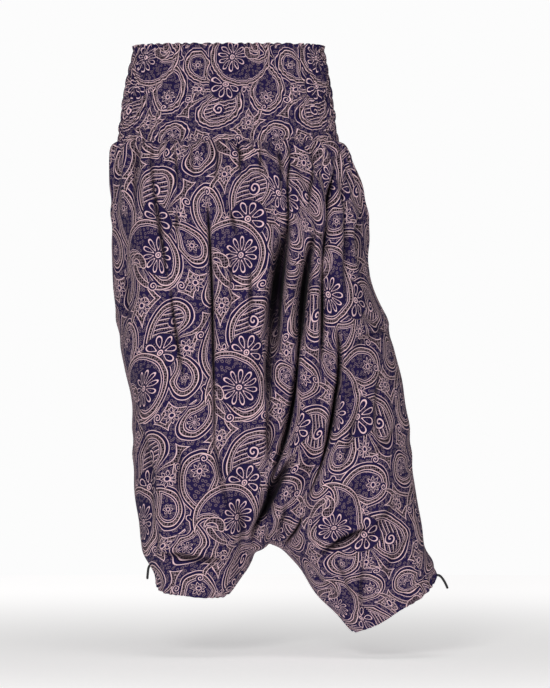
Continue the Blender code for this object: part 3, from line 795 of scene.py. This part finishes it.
GATHER_STARTS = {("left", "back"): 0.0, ("left", "front"): 3.1, ("right", "back"): 1.9, ("right", "front"): 5.0}
DRIFT_WAVES = (
    # height, radians across the panel, turn with the panel's start, start
    (1.0, 5.1, 1, 0),
    (0.6, 11.3, 2, 0),
)
REACH_WAVES = (
    # height, radians across the panel, turn with the panel's start, start
    (0.5, 7.7, 3, 0),
)
HEM_GATHER = 0.0011  # how far a gather of the drawn-in hem stands in or out
HEM_GATHERS = {"back": {"left": 17, "right": 15}, "front": {"left": 11, "right": 13}}
# Sharper creases than the solids hold: a bent line down one face, how deep and wide it is, and how far the
# lip on its right (negative) or left (positive) leans over it.
CREASES = (
    # face, start x, z, middle x, z, end x, z, depth, width, lean
    ("back", 0.104, -0.215, 0.086, -0.335, 0.073, -0.455, 0.060, 0.0105, -0.006),
    ("back", 0.074, -0.400, 0.069, -0.480, 0.070, -0.560, 0.024, 0.0040, -0.003),
    ("back", 0.148, -0.240, 0.128, -0.354, 0.114, -0.470, 0.055, 0.0092, -0.003),
    ("back", 0.120, -0.410, 0.098, -0.550, 0.066, -0.700, 0.045, 0.0052, -0.003),
    ("back", 0.187, -0.105, 0.183, -0.170, 0.178, -0.240, 0.026, 0.0052, -0.004),
    ("back", 0.180, -0.205, 0.175, -0.255, 0.171, -0.310, 0.045, 0.0090, -0.004),
    ("back", 0.172, -0.270, 0.169, -0.350, 0.161, -0.460, 0.045, 0.0062, -0.004),
    ("back", 0.191, -0.405, 0.177, -0.560, 0.128, -0.700, 0.048, 0.0062, 0.006),
    ("back", 0.118, -0.618, 0.067, -0.705, 0.045, -0.778, 0.052, 0.0100, -0.003),
    ("back", 0.106, -0.130, 0.104, -0.190, 0.099, -0.240, 0.022, 0.0052, -0.004),
    ("back", 0.039, -0.296, 0.039, -0.335, 0.041, -0.372, 0.012, 0.0040, -0.003),
    ("back", 0.068, -0.530, 0.066, -0.580, 0.069, -0.640, 0.016, 0.0048, 0.003),
    ("back", 0.200, -0.455, 0.240, -0.420, 0.280, -0.405, 0.009, 0.0055, 0.000),
    ("back", 0.222, -0.372, 0.250, -0.392, 0.278, -0.420, 0.008, 0.0055, 0.000),
    ("back", 0.205, -0.530, 0.222, -0.500, 0.250, -0.480, 0.008, 0.0055, 0.000),
    ("back", 0.240, -0.746, 0.192, -0.770, 0.146, -0.800, 0.026, 0.0055, 0.006),
    ("back", 0.124, -0.728, 0.110, -0.758, 0.093, -0.782, 0.024, 0.0046, 0.006),
    ("back", 0.093, -0.712, 0.085, -0.742, 0.079, -0.770, 0.013, 0.0045, 0.003),
    ("back", 0.233, -0.795, 0.226, -0.850, 0.230, -0.905, 0.016, 0.0050, 0.004),
    ("back", -0.086, -0.205, -0.089, -0.222, -0.088, -0.245, 0.014, 0.0040, 0.003),
    ("back", 0.002, -0.200, 0.010, -0.222, 0.014, -0.250, 0.012, 0.0042, -0.003),
    ("back", 0.016, -0.085, 0.018, -0.110, 0.021, -0.150, 0.016, 0.0035, 0.004),
    ("back", 0.106, -0.086, 0.107, -0.140, 0.103, -0.230, 0.017, 0.0040, -0.006),
    ("back", 0.082, -0.090, 0.088, -0.130, 0.090, -0.190, 0.011, 0.0040, 0.004),
    ("back", 0.056, -0.086, 0.053, -0.115, 0.056, -0.160, 0.010, 0.0035, 0.004),
    ("back", 0.146, -0.088, 0.145, -0.140, 0.134, -0.220, 0.016, 0.0044, -0.006),
    ("back", 0.205, -0.130, 0.211, -0.240, 0.206, -0.360, 0.016, 0.0059, -0.006),
    ("back", 0.232, -0.200, 0.228, -0.260, 0.232, -0.330, 0.011, 0.0059, 0.004),
    ("back", -0.036, -0.190, -0.025, -0.350, -0.023, -0.620, 0.027, 0.0042, -0.005),
    ("back", -0.024, -0.590, -0.012, -0.660, 0.004, -0.730, 0.011, 0.0069, -0.004),
    ("back", -0.131, -0.130, -0.120, -0.230, -0.100, -0.340, 0.017, 0.0042, 0.004),
    ("back", -0.098, -0.330, -0.088, -0.410, -0.074, -0.500, 0.016, 0.0044, -0.004),
    ("back", -0.092, -0.088, -0.090, -0.125, -0.086, -0.180, 0.011, 0.0035, 0.004),
    ("back", -0.060, -0.087, -0.062, -0.110, -0.058, -0.160, 0.010, 0.0035, -0.002),
    ("back", -0.022, -0.086, -0.020, -0.120, -0.024, -0.165, 0.011, 0.0035, 0.004),
    ("back", -0.128, -0.090, -0.131, -0.120, -0.128, -0.170, 0.011, 0.0035, 0.002),
    ("back", -0.158, -0.092, -0.163, -0.140, -0.160, -0.210, 0.014, 0.0044, 0.004),
    ("back", 0.003, -0.262, 0.006, -0.330, 0.000, -0.400, 0.008, 0.0044, -0.004),
    ("back", 0.033, -0.310, 0.036, -0.370, 0.030, -0.430, 0.008, 0.0044, 0.002),
    ("back", -0.185, -0.310, -0.184, -0.345, -0.180, -0.390, 0.016, 0.0050, 0.004),
    ("back", -0.160, -0.560, -0.140, -0.640, -0.132, -0.740, 0.011, 0.0079, 0.006),
    ("back", -0.078, -0.610, -0.086, -0.660, -0.082, -0.720, 0.010, 0.0059, 0.004),
    ("back", -0.122, -0.788, -0.060, -0.800, 0.000, -0.802, 0.018, 0.0056, 0.000),
    ("back", -0.115, -0.745, -0.124, -0.775, -0.122, -0.800, 0.010, 0.0054, 0.004),
    ("back", 0.012, -0.700, 0.026, -0.750, 0.020, -0.800, 0.011, 0.0065, -0.004),
    ("back", 0.268, -0.470, 0.250, -0.540, 0.262, -0.620, 0.011, 0.0079, 0.006),
    ("back", 0.296, -0.560, 0.270, -0.600, 0.230, -0.620, 0.010, 0.0069, 0.000),
    ("back", 0.224, -0.520, 0.214, -0.580, 0.190, -0.660, 0.011, 0.0065, -0.006),
    ("back", 0.300, -0.700, 0.262, -0.730, 0.226, -0.790, 0.011, 0.0069, 0.004),
    ("back", 0.318, -0.760, 0.280, -0.800, 0.262, -0.860, 0.010, 0.0065, 0.004),
    ("back", 0.180, -0.800, 0.200, -0.840, 0.216, -0.890, 0.010, 0.0059, 0.004),
    ("back", 0.140, -0.815, 0.172, -0.850, 0.196, -0.880, 0.008, 0.0050, 0.004),
    ("front", 0.085, -0.140, 0.079, -0.330, 0.066, -0.560, 0.035, 0.0077, -0.009),
    ("front", -0.012, -0.210, 0.012, -0.430, 0.050, -0.680, 0.035, 0.0075, 0.009),
    ("front", 0.178, -0.150, 0.175, -0.290, 0.162, -0.460, 0.027, 0.0066, -0.007),
    ("front", -0.085, -0.150, -0.079, -0.310, -0.062, -0.500, 0.027, 0.0066, 0.007),
    ("front", 0.140, -0.480, 0.112, -0.620, 0.078, -0.740, 0.027, 0.0072, 0.007),
    ("front", 0.006, -0.520, 0.030, -0.640, 0.060, -0.750, 0.026, 0.0072, -0.007),
    ("front", 0.118, -0.088, 0.119, -0.130, 0.116, -0.200, 0.016, 0.0040, 0.004),
    ("front", 0.056, -0.087, 0.058, -0.120, 0.057, -0.170, 0.011, 0.0035, 0.004),
    ("front", 0.016, -0.086, 0.014, -0.130, 0.016, -0.190, 0.014, 0.0037, -0.004),
    ("front", -0.040, -0.087, -0.043, -0.130, -0.040, -0.200, 0.014, 0.0040, 0.004),
    ("front", -0.112, -0.090, -0.114, -0.130, -0.112, -0.180, 0.011, 0.0035, -0.004),
    ("front", -0.150, -0.092, -0.153, -0.160, -0.156, -0.260, 0.014, 0.0050, 0.004),
    ("front", 0.150, -0.090, 0.152, -0.140, 0.150, -0.200, 0.011, 0.0040, 0.004),
    ("front", 0.212, -0.160, 0.222, -0.280, 0.226, -0.400, 0.014, 0.0059, -0.004),
    ("front", -0.128, -0.420, -0.120, -0.540, -0.126, -0.660, 0.011, 0.0069, 0.004),
    ("front", -0.060, -0.600, -0.050, -0.690, -0.062, -0.760, 0.011, 0.0065, 0.004),
    ("front", 0.238, -0.480, 0.226, -0.580, 0.240, -0.660, 0.011, 0.0069, 0.004),
    ("front", 0.190, -0.700, 0.214, -0.750, 0.250, -0.780, 0.011, 0.0065, 0.000),
    ("front", -0.120, -0.770, -0.060, -0.784, 0.010, -0.772, 0.010, 0.0054, 0.000),
)
SLIT_DEPTH = 0.030  # a crease this deep closes over a slit, dark from its depth and from painted shade
SOFT_WALL, SLIT_WALL = 1.2, 2.1  # how steep the walls of a soft crease and of a slit are
CREASE_STEPS = 48  # points at which a crease's line is worked out
CREASE_REACH = 5  # how far from its line a crease moves the cloth, in its widths
CREASE_ENDS = 0.45  # how wide a crease is at its ends, to 1 in its middle
CREASE_TIP = 0.02  # how far the rise of its depth has come at its ends, of a half wave
CREASE_BIAS = 0.85  # 1 makes a crease deepest halfway along, and less makes it deepest before that
CREASE_BLUNTNESS = 0.9
LIP_HEIGHT = 0.20  # of its crease's depth
LIP_PLACE = 2.1  # from the crease's line, in its widths
LEAN_PLACE, LEAN_WIDTH = 1.5, 1.3  # where a lip leans over most, and how wide the part that leans is
PAINTED_SHADE_START, PAINTED_SHADE_FULL = 0.30, 0.50  # how far down a slit's wall its painted shade begins and is full
PAINTED_SHADE_NARROWING, PAINTED_SHADE_FADING = 0.5, 0.6  # of the painted shade towards a slit's ends
SEAM_STEP = 0.0035  # how far the body's top edge stands out, level with the lowest puff
SEAM_REACH = 0.012
FINE_GATHERS = 2.7  # small pleats for each gather
FINE_GATHER_DEPTH = 0.0024
FINE_GATHER_REACH = 0.050
FINE_GATHER_STRAY = (0.3, 17, 5)  # in fine gathers, and in radians across the panel and for each metre down
SWAY = 0.0022  # the cloth's slow waves between the folds
SIDE_SWAY = 0.0011  # and its slight buckling at the sides
SWAY_START = 0.1  # below the waist seam, where both are at their full height
SWAY_WAVES = (
    # height, radians for each metre across and down, wander, its radians for each metre down, its start
    (1.0, 71, 9, 1.5, 13, 0),
    (0.7, 118, -14, 2.0, 9, 1),
)
HEM_WAVES = (
    # height, radians across the panel, turn, start
    (0.5, 9, 0, 1),
    (0.3, 21, 0, 0),
)
BUCKLE = (74, 2, 31, 1.5)  # radians for each metre down, wander, its radians, and radians across the panel
SIDE_ON, BACK_ON = 0.25, 0.875  # how far the way out points along y where that turn begins and ends
SHAPE_ROUNDS, CREASE_ROUNDS = 12, 1  # of smoothing, before and after the creases
BUTTONHOLE_DEPTH = 0.0012  # how much of the cord stays inside
BUTTONHOLE_REACH = 0.013
FINE_STEPS = 600  # places at which the depths of the sections are worked out
BODY_ROWS = 230
CASING_ROWS = 8
COLUMNS = {"back": {"left": 205, "right": 200}, "front": {"left": 140, "right": 150}}
GRAIN_EASE = 12  # mesh rows over which the grain evens out the gathers' width
GRAIN_MARGIN = 0.15  # the share of a row at each end that is too much side-on for the upright line
# How each panel was cut from the print. Its upright line runs from x at the waist to x at the hem, and has
# the spot (u, v) of the print at height z, turned by so many degrees. Small gathers and slack, which the mesh
# lacks, take in some of the width.
GRAIN = {
    # x_waist, x_hem, z, u, v, turn, flat width for each width that shows
    ("left", "back"): (0.026, 0.009, -0.280, 0.000, 0.000, 0, 0.98),
    ("right", "back"): (0.252, 0.194, -0.557, 0.012, 0.060, 84, 1.08),
    ("left", "front"): (-0.070, -0.062, -0.330, 0.000, 0.000, 0, 1.10),
    ("right", "front"): (0.120, 0.200, -0.300, 0.000, 0.000, 0, 1.10),
}


def seam_end(half, face, place):
    """The inner end of a section: on the centre line above the crotch point, on the inner leg seam below."""
    crotch_x, _, crotch_z, _, crotch_y = CENTRE_LINE[-1]
    if place >= CROTCH_ROW:
        return along(((crotch_x, crotch_y, crotch_z), *INSEAMS[half]), place - CROTCH_ROW)
    back_x, front_x, z, back_y, front_y = along(CENTRE_LINE, place)
    return np.array((back_x, back_y, z) if face == "back" else (front_x, front_y, z))


def section(half, face, place, columns):
    """A section of one panel: points from its inner seam to its side seam."""
    side_x, side_y, side_z, mid_x, back_y, front_y, lift = along(SECTIONS[half], place)
    seam = seam_end(half, face, place)
    reach_y = back_y if face == "back" else front_y
    roundness = min(1.0, max(0.0, (place - CROTCH_ROW) / LEG_ROUNDING))
    share, x, y = quarter_line(seam, mid_x, reach_y, (side_x, side_y), roundness, columns)
    ease = share * share * (3 - 2 * share)
    lean = lift * (1 if face == "front" else -1) * np.sin(math.pi * share) ** 0.5
    z = seam[2] + (side_z - seam[2]) * ease + lean
    return np.stack((x, y, z), axis=1)


def fold_push(face, x, z):
    """How far the large folds push points in (positive)."""
    push = np.zeros_like(x)
    for on, z_top, z_end, x_top, x_middle, x_end, depth, left, right in FOLDS:
        run = np.clip((z_top - z) / (z_top - z_end), 0, 1)
        line = x_top * (1 - run) ** 2 + (4 * x_middle - x_top - x_end) * run * (1 - run) + x_end * run**2
        across = x - line
        width = np.where(across < 0, left, right)
        swell = np.maximum(np.sin(math.pi * run**FOLD_SWELL), 0) ** FOLD_SWELL
        valley = np.exp(-((np.abs(across) / width) ** FOLD_ROUNDNESS))
        ridge = RIDGE_HEIGHT * np.exp(-(((across / left + RIDGE_PLACE) / RIDGE_WIDTH) ** 2))
        push += (on == face) * depth * swell * (valley - ridge)
    return push


def gather_push(half, face, z, share):
    """The short pleats of the gathered waist seam, which stop short of the panel's own seams."""
    drop = np.maximum(-(z + BAND_HEIGHT / 2), 0)
    drift = GATHER_DRIFT * waves(DRIFT_WAVES, share, GATHER_STARTS[half, face])
    wave = np.cos(2 * math.pi * (GATHERS[face] * share + drift))
    reach = GATHER_REACH * (1 + waves(REACH_WAVES, share, GATHER_STARTS[half, face]))
    fade = np.minimum(1.0, drop / GATHER_START) * np.exp(-((drop / reach) ** 2))
    ends = np.clip(GATHER_ENDS * np.minimum(share, 1 - share), 0, 1)
    return GATHER_DEPTH * wave * fade * ends


def crease_moves(face, x, z):
    """How far the creases push points in (positive), lean their lips to the right, and darken the colour with
    painted shade where their slits keep out the light.
    """
    push, lean_over, painted_shade = np.zeros_like(x), np.zeros_like(x), np.zeros_like(x)
    for on, *start_middle_end, depth, width, lean in CREASES:
        start, middle, end = np.array(start_middle_end).reshape(3, 2)
        reach = CREASE_REACH * width
        low, high = np.min((start, middle, end), axis=0) - reach, np.max((start, middle, end), axis=0) + reach
        near = (x > low[0]) & (x < high[0]) & (z > low[1]) & (z < high[1])
        if on != face or not near.any():
            continue
        t = np.linspace(0, 1, CREASE_STEPS)[:, None]
        bend = 2 * middle - (start + end) / 2
        line = (1 - t) ** 2 * start + 2 * t * (1 - t) * bend + t**2 * end
        ahead = np.gradient(line, axis=0)
        place = np.stack((x[near], z[near]), axis=1)
        gaps = place[:, None] - line[None]
        nearest = (gaps**2).sum(axis=2).argmin(axis=1)
        gap, way = gaps[np.arange(len(place)), nearest], ahead[nearest]
        way = way / np.linalg.norm(way, axis=1, keepdims=True)
        along_line = (gap * way).sum(axis=1)
        run = nearest / (CREASE_STEPS - 1)
        taper = np.sin(math.pi * run)
        spread = width * (CREASE_ENDS + (1 - CREASE_ENDS) * taper)
        across = (gap[:, 0] * way[:, 1] - gap[:, 1] * way[:, 0]) * np.where(way[:, 1] < 0, -1, 1)
        past_end = np.where((nearest == 0) | (nearest == CREASE_STEPS - 1), along_line, 0)
        rise = np.sin(math.pi * (CREASE_TIP + (1 - 2 * CREASE_TIP) * run**CREASE_BIAS)) ** CREASE_BLUNTNESS
        fade = rise * np.exp(-((past_end / width) ** 2))
        slit = min(1, depth / SLIT_DEPTH)
        valley = np.exp(-((np.abs(across) / spread) ** (SOFT_WALL + (SLIT_WALL - SOFT_WALL) * slit**2)))
        lips = LIP_HEIGHT * np.exp(-((np.abs(across) / spread - LIP_PLACE) ** 2))
        push[near] += depth * fade * (valley - lips)
        lip = np.exp(-(((across / spread + math.copysign(LEAN_PLACE, lean)) / LEAN_WIDTH) ** 2))
        lean_over[near] += lean * fade * lip
        # painted shade, darkest deep in a slit and fading towards its ends
        core = (valley - PAINTED_SHADE_START - PAINTED_SHADE_NARROWING * (1 - taper) ** 2) / (PAINTED_SHADE_FULL - PAINTED_SHADE_START)
        painted_shade[near] = np.maximum(painted_shade[near], slit * np.clip(core, 0, 1) * taper**PAINTED_SHADE_FADING)
    return push, lean_over, painted_shade


# The mesh rows lie at even depths, as a mean of both legs.
fine_places = np.linspace(0, HEM_SEAM_ROW, FINE_STEPS)
depths = -along(LEFT_SECTIONS, fine_places)[:, 2] - along(RIGHT_SECTIONS, fine_places)[:, 2]
body_places = np.interp(np.linspace(depths[0], depths[-1], BODY_ROWS), depths, fine_places)
places = np.concatenate((body_places, np.linspace(HEM_SEAM_ROW, HEM_EDGE_ROW, CASING_ROWS + 1)[1:]))
base = {}
for half in ("left", "right"):
    for face in ("back", "front"):
        base[half, face] = np.array([section(half, face, place, COLUMNS[face][half]) for place in places])

# The grids are joined into one sheet with shared points along the seams, so that its slopes run on over them.
flat = np.concatenate([grid.reshape(-1, 3) for grid in base.values()])
_, first, joined = np.unique(np.round(flat, 6), axis=0, return_index=True, return_inverse=True)
joined = joined.reshape(-1)
panel_points, quads = {}, []
start = 0
for (half, face), grid in base.items():
    count = grid.shape[0] * grid.shape[1]
    panel_points[half, face] = joined[start : start + count].reshape(grid.shape[:2])
    start += count
    own = panel_points[half, face]
    corners = np.stack((own[:-1, :-1], own[:-1, 1:], own[1:, 1:], own[1:, :-1]), axis=-1).reshape(-1, 4)
    quads.append(corners if (half == "left") == (face == "back") else corners[:, ::-1])
quads = np.concatenate(quads)
points = flat[first]


def slopes(points):
    """The way out of the cloth at each point."""
    a, b, c, d = (points[quads[:, k]] for k in range(4))
    facing = np.cross(c - a, d - b)
    out = np.zeros_like(points)
    for k in range(4):
        np.add.at(out, quads[:, k], facing)
    return out / np.maximum(np.linalg.norm(out, axis=1, keepdims=True), 1e-12)


def relaxed(values, held, rounds):
    """Values on the sheet's points, each drawn towards its neighbours' mean, apart from the held points."""
    edges = np.concatenate([quads[:, [k, (k + 1) % 4]] for k in range(4)])
    edges = np.unique(np.sort(edges, axis=1), axis=0)
    beside = np.bincount(edges.ravel(), minlength=len(values))[:, None]
    values = values.copy()
    for _ in range(rounds):
        total = np.zeros_like(values)
        np.add.at(total, edges[:, 0], values[edges[:, 1]])
        np.add.at(total, edges[:, 1], values[edges[:, 0]])
        values = np.where(held[:, None], values, values + 0.5 * (total / beside - values))
    return values


held = np.zeros(len(points), bool)
for own in panel_points.values():
    held[own[0]] = True
    held[own[-1]] = True
points = relaxed(points, held, SHAPE_ROUNDS)
out = relaxed(slopes(points), held, SHAPE_ROUNDS)
out /= np.linalg.norm(out, axis=1, keepdims=True)
push = np.zeros(len(points))
lean_over = np.zeros(len(points))
creased = np.zeros(len(points))
# painted shade for each point, which darkens the cloth's colour in the slits of the creases
painted_slit_shade = np.zeros(len(points))
for (half, face), own in panel_points.items():
    x, y, z = points[own.ravel()].T
    share = np.tile(np.linspace(0, 1, own.shape[1]), own.shape[0])
    place = np.repeat(places, own.shape[1])
    drawn_in = np.maximum(0, (place - HEM_DRAW_ROW) / (HEM_EDGE_ROW - HEM_DRAW_ROW))
    stray = waves(HEM_WAVES, share, 0)
    gather = np.cos(2 * math.pi * (HEM_GATHERS[face][half] * share + stray))
    hem = HEM_GATHER * drawn_in * gather * (1 + stray)
    crease, lean, painted_shade = crease_moves(face, x, z)
    drop = np.maximum(-(z + BAND_HEIGHT / 2), 0)
    stray_height, stray_across, stray_down = FINE_GATHER_STRAY
    stray = stray_height * np.sin(stray_across * share + stray_down * z)
    pleat = np.cos(2 * math.pi * (FINE_GATHERS * GATHERS[face] * share + stray))
    fine = FINE_GATHER_DEPTH * pleat * np.exp(-((drop / FINE_GATHER_REACH) ** 2))
    sway = np.zeros_like(x)
    for height, wide, deep, wander, slow, begin in SWAY_WAVES:
        sway += SWAY * height * np.sin(wide * x + deep * z + wander * np.sin(slow * z + begin))
    deep, wander, slow, wide = BUCKLE
    buckle = np.sin(deep * z + wander * np.sin(slow * z) + wide * share)
    sway += SIDE_SWAY * out[own.ravel(), 0] ** 2 * buckle
    sway *= np.minimum(1, drop / SWAY_START)
    seam = -SEAM_STEP * np.exp(-((drop / SEAM_REACH) ** 2))
    push[own.ravel()] = gather_push(half, face, z, share) + fold_push(face, x, z) + hem + fine + sway + seam
    creased[own.ravel()] = crease
    lean_over[own.ravel()] = lean
    painted_slit_shade[own.ravel()] = painted_shade
# Where the cloth faces back or front, the creases sink in straight along y. Towards the sides they turn to
# sink in square to the cloth.
straight = np.clip((np.abs(out[:, 1:2]) - SIDE_ON) / (BACK_ON - SIDE_ON), 0, 1)
inward = out * (1 - straight)
inward[:, 1:2] += straight * np.sign(out[:, 1:2])
points = points - out * push[:, None] - inward * creased[:, None]
points[:, 0] += lean_over
points = relaxed(points, held, CREASE_ROUNDS)
# Each cord pulls its hem out to a small peak at the buttonhole, and comes out of that.
for route in CORD_ROUTES.values():
    root, ahead = np.array(route[0]), np.array(route[1]) - route[0]
    mouth = root + ahead / np.linalg.norm(ahead) * BUTTONHOLE_DEPTH
    nearest = points[np.linalg.norm(points - root, axis=1).argmin()]
    pull = np.exp(-((np.linalg.norm(points - nearest, axis=1) / BUTTONHOLE_REACH) ** 2))
    points += (mouth - nearest) * pull[:, None]


def summed_steps(grid, axis):
    """How far each point of a grid lies along the cloth from the grid's first row (0) or column (1)."""
    steps = np.linalg.norm(np.diff(grid, axis=axis), axis=2)
    return np.insert(np.cumsum(steps, axis=axis), 0, 0.0, axis=axis)


def on_print(half, face, uv):
    """Where the points of a panel's flat cut lie on the print."""
    spot_u, spot_v, turn = GRAIN[half, face][3:6]
    cosine, sine = math.cos(math.radians(turn)), math.sin(math.radians(turn))
    u, v = uv[..., 0], uv[..., 1]
    return np.stack((spot_u + u * cosine - v * sine, spot_v + u * sine + v * cosine), axis=-1)


ease_rows = 3 * GRAIN_EASE
ease_shares = np.exp(-0.5 * (np.arange(-ease_rows, ease_rows + 1) / GRAIN_EASE) ** 2)
ease_shares /= ease_shares.sum()
cut = {}
for (half, face), own in panel_points.items():
    grid, painted_shade, plain = points[own], painted_slit_shade[own], base[half, face]
    grain_top, grain_end, grain_z, *_, fullness = GRAIN[half, face]
    padded = np.pad(summed_steps(grid, 1), ((ease_rows, ease_rows), (0, 0)), mode="edge")
    across = np.apply_along_axis(np.convolve, 0, padded, ease_shares, mode="valid")
    # the upright line, kept off both ends of each row, where the cloth turns side-on
    way = 1 if half == "right" else -1
    grain_x = np.interp(places, (0, HEM_SEAM_ROW), (grain_top, grain_end))
    ends = np.sort(plain[:, (0, -1), 0], axis=1).T
    margin = GRAIN_MARGIN * (ends[1] - ends[0])
    inside = np.clip(grain_x, ends[0] + margin, ends[1] - margin)
    zero = way * (grain_x - inside)
    for i, row in enumerate(plain):
        zero[i] += np.interp(way * inside[i], way * row[:, 0], across[i])
    hand = way if face == "back" else -way
    down = summed_steps(plain, 0)
    middle = own.shape[1] // 2
    level = np.interp(-grain_z, -plain[:, middle, 2], down[:, middle])
    uv = np.stack((hand * (across - zero[:, None]) * fullness, level - down), axis=-1)
    if hand < 0:
        grid, uv, painted_shade = grid[:, ::-1], uv[:, ::-1], painted_shade[:, ::-1]
    cut[half, face] = (grid, uv)
    print_uv = on_print(half, face, uv[:BODY_ROWS])
    panel = cloth_piece(f"{half}_{face}_cloth", grid[:BODY_ROWS], print_uv, painted_shade[:BODY_ROWS])
    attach(panel, "root")
    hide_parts(f"{half}_{face}_panel")

# Each hem casing is one strip round the leg, which carries on the print of the back panel above it.
for half in ("left", "right"):
    faces = ("back", "front") if half == "right" else ("front", "back")
    (grid_a, uv_a), (grid_b, uv_b) = ([part[BODY_ROWS - 1 :] for part in cut[half, face]] for face in faces)
    loop = np.concatenate((grid_a[:, :-1], grid_b[:, :-1]), axis=1)
    shift = uv_a[:, -1:] - uv_b[:, :1]
    if half == "right":
        uv = np.concatenate((uv_a[:, :-1], uv_b + shift), axis=1)
    else:
        uv = np.concatenate((uv_a[:, :-1] - shift, uv_b), axis=1)
    casing = cloth_piece(f"{half}_hem_cloth", loop, on_print(half, "back", uv))
    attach(casing, "root")
    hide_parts(f"{half}_hem_casing")


# ---- Floor and light -------------------------------------------------------------------------------------
# A round pale floor at the height of the wearer's soles, painted matt, which glows with painted light, weakly
# in
# its middle and almost as white as the studio towards its rim, and the broad soft lamps of a catalogue studio:
# a key light from behind the wearer on their left, one from above and a weak fill.
FLOOR_Z = -0.975
FLOOR_RADIUS = 3.2
GLOW_START, GLOW_END = 0.3, 2.6  # from the floor's middle
MIDDLE_GLOW, RIM_GLOW = 0.56, 0.95
bpy.ops.mesh.primitive_circle_add(
    vertices=128, radius=FLOOR_RADIUS, fill_type="NGON", location=(FRAME_MIDDLE[0], 0, FLOOR_Z)
)
floor = bpy.context.object
floor.name = "studio_floor"
floor_paint = bpy.data.materials.new("pale_studio_floor")
floor_paint.use_nodes = True
floor_nodes = floor_paint.node_tree.nodes
floor_shader = floor_nodes["Principled BSDF"]
floor_shader.inputs["Roughness"].default_value = 0.9
floor_shader.inputs["Specular IOR Level"].default_value = 0.1
# painted light: the floor glows white, weakly in its middle and more strongly towards its rim
floor_shader.inputs["Emission Color"].default_value = linear("#F7F6F6")
floor_place = add(floor_nodes, "TexCoord")[3]
from_middle = add(floor_nodes, "VectorMath", floor_place, operation="LENGTH")
glow = add(floor_nodes, "MapRange", from_middle, GLOW_START, GLOW_END, MIDDLE_GLOW, RIM_GLOW)
glow.node.interpolation_type = "SMOOTHSTEP"
floor_shader.inputs["Base Color"].default_value = linear("#DDDCDB")
floor_paint.node_tree.links.new(glow, floor_shader.inputs["Emission Strength"])
floor.data.materials.append(floor_paint)

LAMPS = (
    # name, place, size, watts
    ("key_light", (-0.7, -5.3, 0.9), 0.9, 124),
    ("fill_light", (2.6, -4.2, 0.3), 1.8, 10),
    ("top_light", (0.1, -1.6, 2.8), 1.6, 24),
)
for name, place, size, watts in LAMPS:
    lamp = bpy.data.lights.new(name, "AREA")
    lamp.size = size
    lamp.energy = watts
    light = bpy.data.objects.new(name, lamp)
    light.location = place
    aim = Vector((FRAME_MIDDLE[0], 0, FRAME_MIDDLE[1])) - Vector(place)
    light.rotation_euler = aim.to_track_quat("-Z", "Y").to_euler()
    bpy.context.scene.collection.objects.link(light)

# The studio is white all round, but what it adds to the lamps' light is weak, so that the folds stay deep.
STUDIO_SEEN = 1.0
STUDIO_GLOW = 0.07
world = bpy.data.worlds.new("studio")
world.use_nodes = True
world_nodes = world.node_tree.nodes
world_nodes["Background"].inputs["Color"].default_value = linear("#FCFCFC")
seen = add(world_nodes, "LightPath")[0]
strength = add(world_nodes, "MapRange", seen, 0.0, 1.0, STUDIO_GLOW, STUDIO_SEEN)
world.node_tree.links.new(strength, world_nodes["Background"].inputs["Strength"])
bpy.context.scene.world = world
bpy.context.scene.view_settings.view_transform = "Standard"
